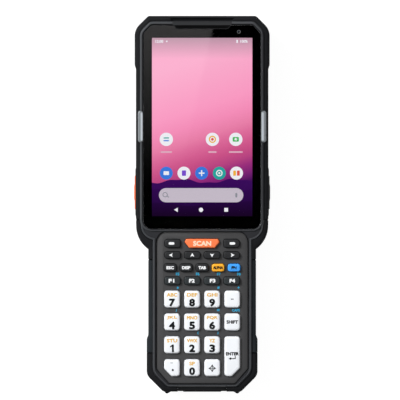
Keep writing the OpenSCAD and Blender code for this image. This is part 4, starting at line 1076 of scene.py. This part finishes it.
place(print_shapes("picture_glyphs", glyphs, lambda x, y: sheet_z + 0.1, LIGHTS), "display_module")
print(f"{len(glyphs)} glyphs")

# %% [markdown]
# The front camera looks through a small clear hole in the black border: a grey ring, a dark lens, and
# a painted glint.

# %% Front camera
EYE = {
    "ring": ink("aperture_ring_ink", "#6a6d71", 0.4),
    "pupil": ink("lens_coating", "#050609", 0.3),
    # The glint is a painted reflection on the lens.
    "glint": ink("painted_lens_glint", "#223463", 0.3),
}
eye_x, eye_y, glint_r = 21.35, 100.9, 0.2
glint_x, glint_y = eye_x - 0.2, eye_y + 0.2
eye = [
    hoop(eye_x, eye_y, 1.05, 0.3, "ring"),
    disc(eye_x, eye_y, 0.75, "pupil"),
    disc(glint_x, glint_y, glint_r, "glint"),
]


def eye_height(x, y):
    """Just above the border, and a hair more for the painted glint."""
    on_glint = max(abs(x - glint_x), abs(y - glint_y)) < glint_r + 0.01
    return seat_z + 0.185 + (0.004 if on_glint else 0)


place(print_shapes("front_camera", eye, eye_height, EYE), "display_module")
print("front camera in the border")

# %% [markdown]
# ## Earpiece and light bars
#
# The earpiece bar fills the notch in the glass: a level top, and a dark slope of acoustic mesh that falls to
# the glass. Its row of slots is the first thing here that repeats, so it is made with Geometry Nodes: a
# rectangle with rounded corners is filled, raised, closed underneath, and set along a line. The same tree
# makes the grooves of the battery and the ribs of the port cover later. Its sizes are named inputs.


# %% A row of rounded bars in Geometry Nodes
def row_tree():
    """The node tree that makes a row of rounded bars."""
    tree = bpy.data.node_groups.new("row_of_bars", "GeometryNodeTree")
    tree.interface.new_socket(name="Geometry", in_out="OUTPUT", socket_type="NodeSocketGeometry")
    for name in ("Width", "Length", "Corner", "Height"):
        tree.interface.new_socket(name=name, in_out="INPUT", socket_type="NodeSocketFloat")
    tree.interface.new_socket(name="Count", in_out="INPUT", socket_type="NodeSocketInt")
    for name in ("Pitch", "Start"):
        tree.interface.new_socket(name=name, in_out="INPUT", socket_type="NodeSocketVector")
    tree.interface.new_socket(name="Finish", in_out="INPUT", socket_type="NodeSocketMaterial")
    give = add(tree, "NodeGroupInput").outputs
    outline = {"Width": give["Width"], "Height": give["Length"]}
    outline = add(tree, "GeometryNodeCurvePrimitiveQuadrilateral", outline).outputs["Curve"]
    corners = {"Curve": outline, "Radius": give["Corner"], "Count": 5}
    corners = add(tree, "GeometryNodeFilletCurve", corners, mode="POLY").outputs["Curve"]
    face = add(tree, "GeometryNodeFillCurve", {"Curve": corners}).outputs["Mesh"]
    raised = {"Mesh": face, "Offset Scale": give["Height"], "Individual": False}
    raised = add(tree, "GeometryNodeExtrudeMesh", raised).outputs["Mesh"]
    under = add(tree, "GeometryNodeFlipFaces", {"Mesh": face}).outputs["Mesh"]
    both = add(tree, "GeometryNodeJoinGeometry")
    tree.links.new(raised, both.inputs["Geometry"])
    tree.links.new(under, both.inputs["Geometry"])
    one = {"Geometry": both.outputs["Geometry"], "Distance": 0.000001}
    one = add(tree, "GeometryNodeMergeByDistance", one).outputs["Geometry"]
    line = {"Count": give["Count"], "Start Location": give["Start"], "Offset": give["Pitch"]}
    line = add(tree, "GeometryNodeMeshLine", line).outputs["Mesh"]
    copies = add(tree, "GeometryNodeInstanceOnPoints", {"Points": line, "Instance": one}).outputs["Instances"]
    real = add(tree, "GeometryNodeRealizeInstances", {"Geometry": copies}).outputs["Geometry"]
    done = {"Geometry": real, "Material": give["Finish"]}
    done = add(tree, "GeometryNodeSetMaterial", done).outputs["Geometry"]
    add(tree, "NodeGroupOutput", {"Geometry": done})
    return tree


ROW = row_tree()


def row_of_bars(name, material, **sizes):
    """A row of bars in millimetres, as a plain mesh."""
    thing = add_mesh(name, [(0, 0, 0)], [])
    change = thing.modifiers.new("row", "NODES")
    change.node_group = ROW
    for socket in ROW.interface.items_tree:
        if socket.in_out != "INPUT":
            continue
        value = sizes.get(socket.name.lower(), material)
        if socket.name not in ("Count", "Finish"):
            value = [v * MM for v in value] if isinstance(value, tuple) else value * MM
        change[socket.identifier] = value
    return bake(thing)


print(f"{len(ROW.nodes)} nodes in the row tree")

# %% Earpiece
ear_low, ear_edge, ear_top = bar_low[1], bar_low[1] + 2.2, core_top_y - 0.3
ear_z0, ear_z1 = glass_z, rim_z - 0.15
right = [(15.1, ear_low, ear_z0), (17.1, ear_edge, ear_z1), (17.1, ear_top, ear_z1)]
top = right + [(-x, y, z) for x, y, z in right[::-1]]
ear = [(x, y, seat_z) for x, y, z in top] + top
faces = [(i, (i + 1) % 6, 6 + (i + 1) % 6, 6 + i) for i in range(6)]
faces += [(5, 4, 3, 2, 1, 0), (7, 8, 9, 10), (6, 7, 10, 11)]
place(add_mesh("earpiece_bar", ear, faces), "trim_plastic", replaces=["receiver_bar"])


def on_slope(lift):
    """Lays a mesh that was made flat at z = 0 onto the slope of the earpiece."""
    rise = (ear_z1 - ear_z0) / (ear_edge - ear_low)
    return Matrix(((1, 0, 0, 0), (0, 1, 0, ear_low * MM), (0, rise, 1, (ear_z0 + lift) * MM), (0, 0, 0, 1)))


# A woven polyester mesh behind the slope: black, because it swallows the light.
mesh_cloth = moulded("acoustic_mesh", "#0b0b0c", 0.8, 0.25, 0.04, 0.05, 0.2)
patch = [(-14.9, 0.12), (14.9, 0.12), (16.7, 2.1), (-16.7, 2.1)]
cloth = print_shapes("earpiece_mesh", [flat(patch, "cloth")], lambda x, y: 0, {"cloth": mesh_cloth})
cloth.data.transform(on_slope(0.02))
place(cloth, "trim_plastic")
slot_size = {"width": 1.3, "length": 0.35, "corner": 0.17, "height": 0.03}
slot_place = {"count": 13, "pitch": (2.1, 0, 0), "start": (-12.6, 1.1, 0)}
slot_row = row_of_bars("earpiece_slots", slot_shadow, **slot_size, **slot_place)
slot_row.data.transform(on_slope(0.03))
place(slot_row, "trim_plastic")
print("earpiece ready")

# %% Light bars, with a paler core of painted light on the inner side
lens_bar = stack("lens", lens_outline(0), [(0, light_low[2])] + rounded_edge(0.7, light_high[2]))
bars = smooth(with_mirror("light_bar_lenses", lens_bar))
place(bars, "lens_plastic", replaces=["light_bars"])
# The paler core is painted light: a bright strip for the light caught in the acrylic.
painted_light_core = ink("painted_light_acrylic_core", "#b6bdc3", 0.4)
pale_x, pale_w = light_high[0] - 2.1, 1.1
pale_y, pale_l = (light_low[1] + light_high[1]) / 2, light_high[1] - light_low[1] - 1.9
cores = [bar(side * pale_x, pale_y, pale_w, pale_l, 0.5, "pale") for side in (-1, 1)]
cores = print_shapes("light_bar_cores", cores, lambda x, y: light_high[2] + 0.004, {"pale": painted_light_core})
place(cores, "lens_plastic")
print("two light bars")

# %% [markdown]
# ## Keypad plate
#
# The plate is a flat moulding with thirty-one windows. Each window follows its key with about a quarter of a
# millimetre to spare and opens slightly towards the top, where the mould leaves a bevel.

# %% Outlines of the keys
KEY_NODES = sorted(n for n in nodes if n.startswith("key_"))
ROUND_LEFT = ("key_left", "key_soft_left")
ROUND_RIGHT = ("key_right", "key_soft_right")
NUMBERS = [f"key_{k}" for k in "0123456789"] + ["key_minus", "key_shift", "key_nav"]
key_collar = 0.6


def key_place(node):
    """Centre and half size of a keycap, without the collar that stays under the plate."""
    low, high = span(node)
    half_w, half_h = (high[0] - low[0]) / 2 - key_collar, (high[1] - low[1]) / 2 - key_collar
    return (low[0] + high[0]) / 2, (low[1] + high[1]) / 2, half_w, half_h


def key_outline(node):
    """Corners of a keycap, each with its own radius."""
    x, y, w, h = key_place(node)
    if node == "key_scan":
        rows = [(-w + 2.8, -h, 0.9), (w - 2.8, -h, 0.9), (w, h - 1.9, 0.7), (w - 1, h, 0.7)]
        rows += [(-w + 1, h, 0.7), (-w, h - 1.9, 0.7)]
    elif node == "key_enter":
        rows = [(-w, -h, 1.8), (w - 4.9, -h, 1.6), (w, -h + 4.9, 1.6), (w, h, 1.8), (-w, h, 1.8)]
    elif node == "key_dot":
        rows = [(-w + 4.4, -h, 1.6), (w, -h, 1.8), (w, h, 1.8), (-w, h, 1.8), (-w, -h + 4.4, 1.6)]
    elif node in ROUND_RIGHT:
        rows = [(-w, -h, 1.3), (w, -h, h - 0.3), (w, h, h - 0.3), (-w, h, 1.3)]
    elif node in ROUND_LEFT:
        rows = [(-w, -h, h - 0.3), (w, -h, 1.3), (w, h, 1.3), (-w, h, h - 0.3)]
    else:
        r = 1.9 if node in NUMBERS else 1.5
        rows = [(-w, -h, r), (w, -h, r), (w, h, r), (-w, h, r)]
    return [(x + dx, y + dy, r, 1) for dx, dy, r in rows]


print(f"{len(KEY_NODES)} keys")

# %% Plate with its windows
plate_edge = [(0, plate_low[2]), (0, plate_z - 0.3), (0.1, plate_z - 0.1), (0.3, plate_z)]
plate = stack("keypad_plate", plate_outline, plate_edge, steps=8)
window = [(-0.14, plate_low[2] - 1), (-0.14, plate_z - 0.12), (-0.24, plate_z), (-0.24, plate_z + 0.5)]
cut(plate, *[stack("opening", key_outline(n), window) for n in KEY_NODES])
smooth(plate, 30)
place(plate, "plate_plastic", replaces=["keypad_panel"])
print(f"plate with {len(KEY_NODES)} windows")

# %% [markdown]
# ## Keys
#
# A keycap is a small pillow: straight sides, a rounded shoulder, and a top that rises a little to the middle.
# The rings of the same stacking helper give that crown. On a small key the whole crown is narrower, or its
# rings would cross. The legends are real flat letters just above the crown, one mesh for each key, so that
# they travel with it.

# %% Keycaps
key_top, key_foot, collar_out = span("key_5")[1][2], plate_low[2] - 0.1, -0.55
CROWN = [(0.16, -0.85), (0.24, -0.5), (0.4, -0.27), (0.7, -0.13), (1.1, -0.05), (1.8, 0)]


def crown(node):
    """Pairs of inset and height for this key."""
    narrow = min(1.0, 0.42 * min(key_place(node)[2:]) / CROWN[-1][0])
    return [(inset * narrow, key_top + z) for inset, z in CROWN]


WHITE = NUMBERS + ["key_enter", "key_dot"]
SLATE = ("key_f1", "key_f2", "key_f3", "key_f4")
KEY_SLOTS = {"key_scan": "key_orange", "key_alpha": "key_yellow", "key_fn": "key_blue"}
KEY_SLOTS.update({n: "key_white" for n in WHITE})
for node in KEY_NODES:
    collar = [(collar_out, span(node)[0][2]), (collar_out, key_foot), (0.1, key_foot + 0.05)]
    cap = smooth(stack("cap_" + node[4:], key_outline(node), collar + crown(node), steps=7), 50)
    if node in SLATE:
        paint(cap, slate_polycarbonate)
    place(cap, KEY_SLOTS.get(node, "key_black"), body=node, replaces=[node])
print(f"{len(KEY_NODES)} keycaps, {len(WHITE)} of them white")

# %% [markdown]
# ## Legends
#
# The keys carry plain figures and words that such keypads share: numbers, letters in threes, arrows, and the
# names of functions. Each is printed in ink of its own colour.

# %% Inks of the legends
INKS = {
    "black": ink("legend_black", "#141517"),
    "white": ink("legend_white", "#f2f4f6"),
    "cream": ink("legend_cream", "#ffdcc0"),
    "orange": ink("legend_orange", "#e6b346"),
    "blue": ink("legend_blue", "#2f9fc8"),
    "grey": ink("legend_grey", "#9aa0a6"),
}


def arrow_head(x, y, size, turn, colour):
    """A solid notched arrow head; turn is its direction in degrees."""
    head = [(1.0, 0), (-0.75, 0.95), (-0.35, 0), (-0.75, -0.95)]
    a = radians(turn)
    head = [(x + size * (u * cos(a) - v * sin(a)), y + size * (u * sin(a) + v * cos(a))) for u, v in head]
    return flat(head, colour)


def legend(node, *shapes):
    """Prints the shapes on the cap of this key."""
    used = {c: INKS[c] for c in sorted({s[2] for s in shapes})}
    printed = print_shapes("print_" + node[4:], shapes, lambda x, y: key_top + 0.015, used)
    place(printed, KEY_SLOTS.get(node, "key_black"), body=node)


print(f"{len(INKS)} inks")

# %% Legends of the number keys
LETTERS = dict(zip("7894561230", ("ABC", "DEF", "GHI", "JKL", "MNO", "PQR", "STU", "VWX", "YZ", "SP")))
for digit, letters in LETTERS.items():
    x, y = key_place(f"key_{digit}")[:2]
    figure = [bold(words(digit, x, y - 2.0, 3.85, "black", width=2.85), 0.33)]
    if digit == "1":
        # The font's own 1 is a plain bar, so this one is drawn with its flag.
        flag = [(x + 0.1, y + 0.1), (x - 1.15, y - 0.75), (x - 1.15, y - 1.6), (x + 0.1, y - 0.85)]
        figure = [bar(x + 0.5, y - 2.0, 1.15, 4.4, 0.05, "black"), flat(flag, "black")]
    width = 5.9 if len(letters) == 3 else 3.1
    legend(f"key_{digit}", *figure, bold(words(letters, x, y + 2.5, 1.9, "orange", width=width), 0.12))
print(f"{len(LETTERS)} figures")

# %% Legends of the other white keys
x, y = key_place("key_minus")[:2]
legend("key_minus", bar(x, y, 1.6, 0.5, 0.05, "black"))
x, y = key_place("key_shift")[:2]
legend("key_shift", bold(words("SHIFT", x, y, 1.75, "black", width=6.5), 0.14))
x, y = key_place("key_enter")[:2]
back_arrow = [
    bar(x + 0.5, y - 1.35, 3.0, 0.5, 0.05, "black"),
    bar(x + 1.75, y - 0.75, 0.5, 1.7, 0.05, "black"),
    flat([(x - 2.1, y - 1.35), (x - 0.7, y - 2.2), (x - 0.7, y - 0.5)], "black"),
]
legend("key_enter", bold(words("ENTER", x, y + 1.5, 1.7, "black", width=7.3), 0.14), *back_arrow)
x, y = key_place("key_dot")[:2]
legend("key_dot", disc(x + 0.45, y - 1.35, 0.65, "black"), bar(x - 0.2, y + 2.8, 1.5, 0.4, 0.15, "grey"))
x, y = key_place("key_nav")[:2]
y -= 0.3
turns = (0, pi / 2, pi, 1.5 * pi)
heads = [arrow_head(x + 1.6 * cos(a), y + 1.6 * sin(a), 0.75, a * 180 / pi, "black") for a in turns]
cross = [bar(x, y, 2.8, 0.35, 0.05, "black"), bar(x, y, 0.35, 2.8, 0.05, "black")]
legend("key_nav", *heads, *cross, hoop(x, y, 1.25, 0.32, "black"))
print("five other white keys")

# %% Legends of the small keys
soft_x = {"key_soft_left": -17.85, "key_soft_right": 17.6}
for node, x in soft_x.items():
    legend(node, bar(x, key_place(node)[1], 3.3, 1.5, 0.7, "white"))
x, y = key_place("key_scan")[:2]
legend("key_scan", bold(words("SCAN", x, y, 2.6, "cream", width=10.2), 0.2))
for node, turn in (("key_left", 180), ("key_up", 90), ("key_down", 270), ("key_right", 0)):
    x, y = key_place(node)[:2]
    x = {"key_left": -18.1, "key_right": 17.6}.get(node, x)
    legend(node, arrow_head(x, y, 1.25, turn, "white"))
NAMES = {
    "key_esc": ("ESC", 4.1, "white"),
    "key_display": ("DISP", 4.6, "white"),
    "key_tab": ("TAB", 4.1, "white"),
    "key_alpha": ("ALPHA", 5.6, "black"),
    "key_fn": ("FN", 2.7, "black"),
}
for node, (text, width, colour) in NAMES.items():
    legend(node, bold(words(text, *key_place(node)[:2], 1.6, colour, width=width), 0.15))
for node, x in zip(SLATE, (-17.85, -5.97, 6.09, 17.6)):
    legend(node, bold(words(node[4:].upper(), x, key_place(node)[1], 1.9, "white", width=3.0), 0.18))
print("small keys lettered")

# %% Labels on the plate
LABELS = [
    ("F5", -14.3, -40.3, 1.5),
    ("F6", -2.6, -40.3, 1.5),
    ("F7", 9.7, -40.3, 1.5),
    ("F8", 21.4, -40.3, 1.5),
    ("*", -14.2, -48.3, 1.2),
    ("#", 9.5, -48.2, 1.4),
    ("+", 21.2, -48.2, 1.2),
    ("/", -15.0, -61.5, 1.4),
    ("=", 9.4, -61.3, 0.9),
    ("CAPS", 19.7, -61.4, 1.35),
    ("(", -2.4, -74.6, 1.6),
    (")", 9.2, -74.6, 1.6),
]
labels = [bold(words(text, x, y, height, "blue"), 0.1) for text, x, y, height in LABELS]
labels = print_shapes("plate_labels", labels, lambda x, y: plate_z + 0.012, {"blue": INKS["blue"]})
place(labels, "plate_plastic")
print(f"{len(LABELS)} labels on the plate")

# %% [markdown]
# ## Side controls
#
# A scan trigger is a long bar that swells in its middle, where a finger finds it without looking. It is
# lofted along its length: at each station a rounded section reaches out as far as the swell asks.


# %% Scan triggers
# Distances from the middle of a cap, and how far it stays back there, as a share of the mound.
SWELL = ((5.4, 1), (4.8, 0.8), (4.0, 0.25), (3.2, 0))
trigger_depth, trigger_r, trigger_collar, collar_t, stem_y = 6.1, 1.3, 1, 2.0, 2.4


def trigger(node, slot):
    """A cap lofted from end to end, its collar inside the shell, and the stem that meets the switch."""
    low, high = span(node)
    side = 1 if high[0] > 0 else -1
    reach = high[0] if side > 0 else -low[0]
    inner_x = reach - trigger_depth
    z0, z1, middle = low[2] + trigger_collar, high[2] - trigger_collar, (low[1] + high[1]) / 2
    half = (high[1] - low[1]) / 2 - trigger_collar
    stations = [(-half, mound + 0.5), (-half + 0.12, mound + 0.2), (-half + 0.4, mound)]
    stations += [(-y, mound * share) for y, share in SWELL]
    stations += [(-y, drop) for y, drop in reversed(stations)]
    turns = [pi / 2 * k / 5 for k in range(6)]
    vertices, faces = [], []
    for y, drop in stations:
        x = reach - drop - trigger_r
        section = [(inner_x, z0)]
        section += [(x + trigger_r * sin(t), z0 + trigger_r - trigger_r * cos(t)) for t in turns]
        section += [(x + trigger_r * cos(t), z1 - trigger_r + trigger_r * sin(t)) for t in turns]
        section += [(inner_x, z1)]
        vertices += [(side * u, middle + y, v) for u, v in section]
    count, last = len(section), len(stations) - 1
    for s in range(last):
        for i in range(count):
            j = (i + 1) % count
            faces.append((s * count + i, (s + 1) * count + i, (s + 1) * count + j, s * count + j))
    faces += [tuple(range(count)), tuple(reversed(range(last * count, (last + 1) * count)))]
    faces = faces if side > 0 else [f[::-1] for f in faces]
    cap = add_mesh("trigger_cap", vertices, faces)
    collar_x = sorted((side * (inner_x - collar_t), side * (inner_x + 0.1)))
    collar = block(*collar_x, low[1], high[1], low[2], high[2])
    stem_x = low[0] if side > 0 else -high[0]
    stem_x = sorted((side * stem_x, side * (inner_x - collar_t + 0.1)))
    stem = block(*stem_x, middle - stem_y, middle + stem_y, split_z - 2.4, split_z + 0.6)
    place(smooth(join(node + "_cap", cap, collar, stem), 50), slot, body=node, replaces=[node])
    return len(faces)


for node, slot in (("scan_trigger_left", "trigger_orange"), ("scan_trigger_right", "control_plastic")):
    print(f"{node}: {trigger(node, slot)} faces on its cap")

# %% [markdown]
# ## The solids that keep their shape
#
# The rear shell, the rocker and everything inside are right as they are. A mould never leaves a knife edge,
# so a small bevel modifier rounds their corners, and each gets the finish of its slot.

# %% Finish the other solids
KEPT = {
    "rear_housing": ("housing_plastic", 0.35),
    "battery_latch": ("control_plastic", 0.25),
    "volume_rocker": ("control_plastic", 0.12),
    "power_button": ("control_plastic", 0.3),
    "port_cover": ("cover_rubber", 0.35),
    "port_hinge_pin": ("steel", 0),
    "case_screws": ("screw_steel", 0.1),
    "display_panel": ("display_module", 0),
    "keypad_mat": ("mat_silicone", 0),
    "keypad_board": ("circuit_board", 0),
    "main_board": ("circuit_board", 0),
    "scan_engine": ("module_plastic", 0),
    "scan_window": ("scan_glass", 0),
    "rear_camera": ("module_plastic", 0.15),
    "speaker": ("module_plastic", 0),
    "battery_contacts": ("contact_brass", 0),
    "usb_socket": ("steel", 0.1),
    "side_switches": ("steel", 0),
}


def soften(thing, width):
    """Rounds the sharp edges of a piece."""
    edge = thing.modifiers.new("edge", "BEVEL")
    edge.width, edge.segments, edge.limit_method = width * MM, 2, "ANGLE"
    edge.angle_limit = radians(40)
    edge.use_clamp_overlap = True


for node, (finish, width) in KEPT.items():
    paint(nodes[node], FINISHES[finish])
    if width:
        soften(nodes[node], width)
print(f"{len(KEPT)} solids kept")

# %% [markdown]
# ## The back
#
# The battery forms most of the back. Thumb grooves near its latch help to push it free. They are cut from a
# copy of the solid, whose loose triangles are merged first, with the row of bars as the cutter.

# %% Battery with thumb grooves
pack_low = span("battery_pack")[0]
pack = add_mesh("battery_case", [], [])
work = bmesh.new()
work.from_mesh(nodes["battery_pack"].data)
bmesh.ops.remove_doubles(work, verts=work.verts, dist=0.000001)
work.to_mesh(pack.data)
work.free()
groove = {"width": 30, "length": 1.3, "corner": 0.6, "height": 0.45, "count": 6, "pitch": (0, 2.8, 0)}
cut(pack, row_of_bars("grooves", None, start=(0, pack_low[1] + 8, pack_low[2] - 0.05), **groove))
soften(pack, 0.35)
smooth(bake(pack), 15)
place(pack, "battery_plastic", body="battery_pack", replaces=["battery_pack"])
print(f"battery case: {len(pack.data.polygons)} faces")

# %% Lenses on the back and ribs on the port cover
BACK_EYE = {
    "ring": ink("lens_bezel_ink", "#4c4f53", 0.4),
    "glass": ink("coated_lens", "#07090f", 0.15, 0.5),
    "lamp": ink("yellow_phosphor", "#e9dfae", 0.5),
}
back_x, camera_y, flash_y = -20, core_top_y - 15, core_top_y - 27
back = [
    hoop(back_x, camera_y, 3.3, 0.5, "ring"),
    disc(back_x, camera_y, 2.1, "glass"),
    disc(back_x, flash_y, 1.5, "lamp"),
]
back_z = span("rear_camera")[0][2] - 0.01
lenses = print_shapes("back_lenses", back, lambda x, y: back_z, BACK_EYE)
lenses.data.flip_normals()
place(lenses, "module_plastic")
rib = {"width": 22, "length": 0.7, "corner": 0.3, "height": 0.5, "count": 4, "pitch": (0, 1.6, 0)}
cover_ribs = row_of_bars("port_cover_ribs", FINISHES["cover_rubber"], start=(0, 0, 0), **rib)
# The row is made lying flat, and stood up against the outer face of the cover.
rib_y, rib_z = cover_low[1] + 0.15, cover_high[2] - 5.5
upright = ((1, 0, 0, 0), (0, 0, -1, rib_y * MM), (0, 1, 0, rib_z * MM), (0, 0, 0, 1))
cover_ribs.data.transform(Matrix(upright))
place(cover_ribs, "cover_rubber", body="port_cover")
print("lenses and ribs")

# %% [markdown]
# ## Floor and cards
#
# The floor is part of the studio and not of the terminal. It gives light of its own for the eye only, which
# lifts it to white and leaves the shadow in place. A glass is only seen by what it mirrors. So two cards hang
# above the camera: a black one on the right, and on the left one that shines faintly, more towards the upper
# end. The slanted edge between them is the line of the sheen across the display. They light nothing
# themselves, because only mirrors see them.


# %% Floor
def stage_sheet(name, corners, z, material):
    """A flat sheet that belongs to the studio."""
    thing = add_mesh(name, [(x, y, z) for x, y in corners], [tuple(range(len(corners)))])
    paint(thing, material)
    return thing


reach, floor_z, floor_glow = 3000, -0.02, 0.93
floor_paper, tree, skin = new_material("floor_paper")
glow_seen = {0: to_camera(tree), 1: floor_glow}
glow_seen = add(tree, "ShaderNodeMath", glow_seen, operation="MULTIPLY").outputs[0]
feed(skin, {"Base Color": linear("#7c7c7c"), "Roughness": 0.9})
feed(skin, {"Emission Color": (1, 1, 1, 1), "Emission Strength": glow_seen})
corners = [(-reach, -reach), (reach, -reach), (reach, reach), (-reach, reach)]
stage_sheet("floor", corners, floor_z, floor_paper)
print("floor of 6 by 6 metres")

# %% Cards
card_z, card_x, card_low_y, card_high_y = 4320, 320, -330, 430
black_felt, tree, skin = new_material("black_felt")
feed(skin, {"Base Color": linear("#050505"), "Roughness": 1.0, "Specular IOR Level": 0.0})
glow_card, tree, skin = new_material("glow_card")
where = add(tree, "ShaderNodeTexCoord").outputs["Object"]
along = add(tree, "ShaderNodeSeparateXYZ", {"Vector": where}).outputs["Y"]
along = {"Value": along, "From Min": 0.02, "From Max": 0.215}
along = add(tree, "ShaderNodeMapRange", along).outputs["Result"]
curve = add(tree, "ShaderNodeMath", {0: along, 1: 1.5}, operation="POWER").outputs[0]
curve = add(tree, "ShaderNodeMath", {0: curve, 1: 0.5}, operation="MULTIPLY").outputs[0]
feed(skin, {"Base Color": (0, 0, 0, 1), "Specular IOR Level": 0.0})
feed(skin, {"Emission Color": (1, 0.97, 0.98, 1), "Emission Strength": curve})
edge_low, edge_high = (-105.2, card_low_y), (62.7, card_high_y)
black_part = [edge_low, (card_x, card_low_y), (card_x, card_high_y), edge_high]
glow_part = [(-card_x, card_low_y), edge_low, edge_high, (-card_x, card_high_y)]
cards = [
    stage_sheet("black_card", black_part, card_z, black_felt),
    stage_sheet("glow_card", glow_part, card_z, glow_card),
]
for card in cards:
    card.visible_camera = card.visible_diffuse = card.visible_shadow = False
print(f"{len(cards)} cards at {card_z} mm")
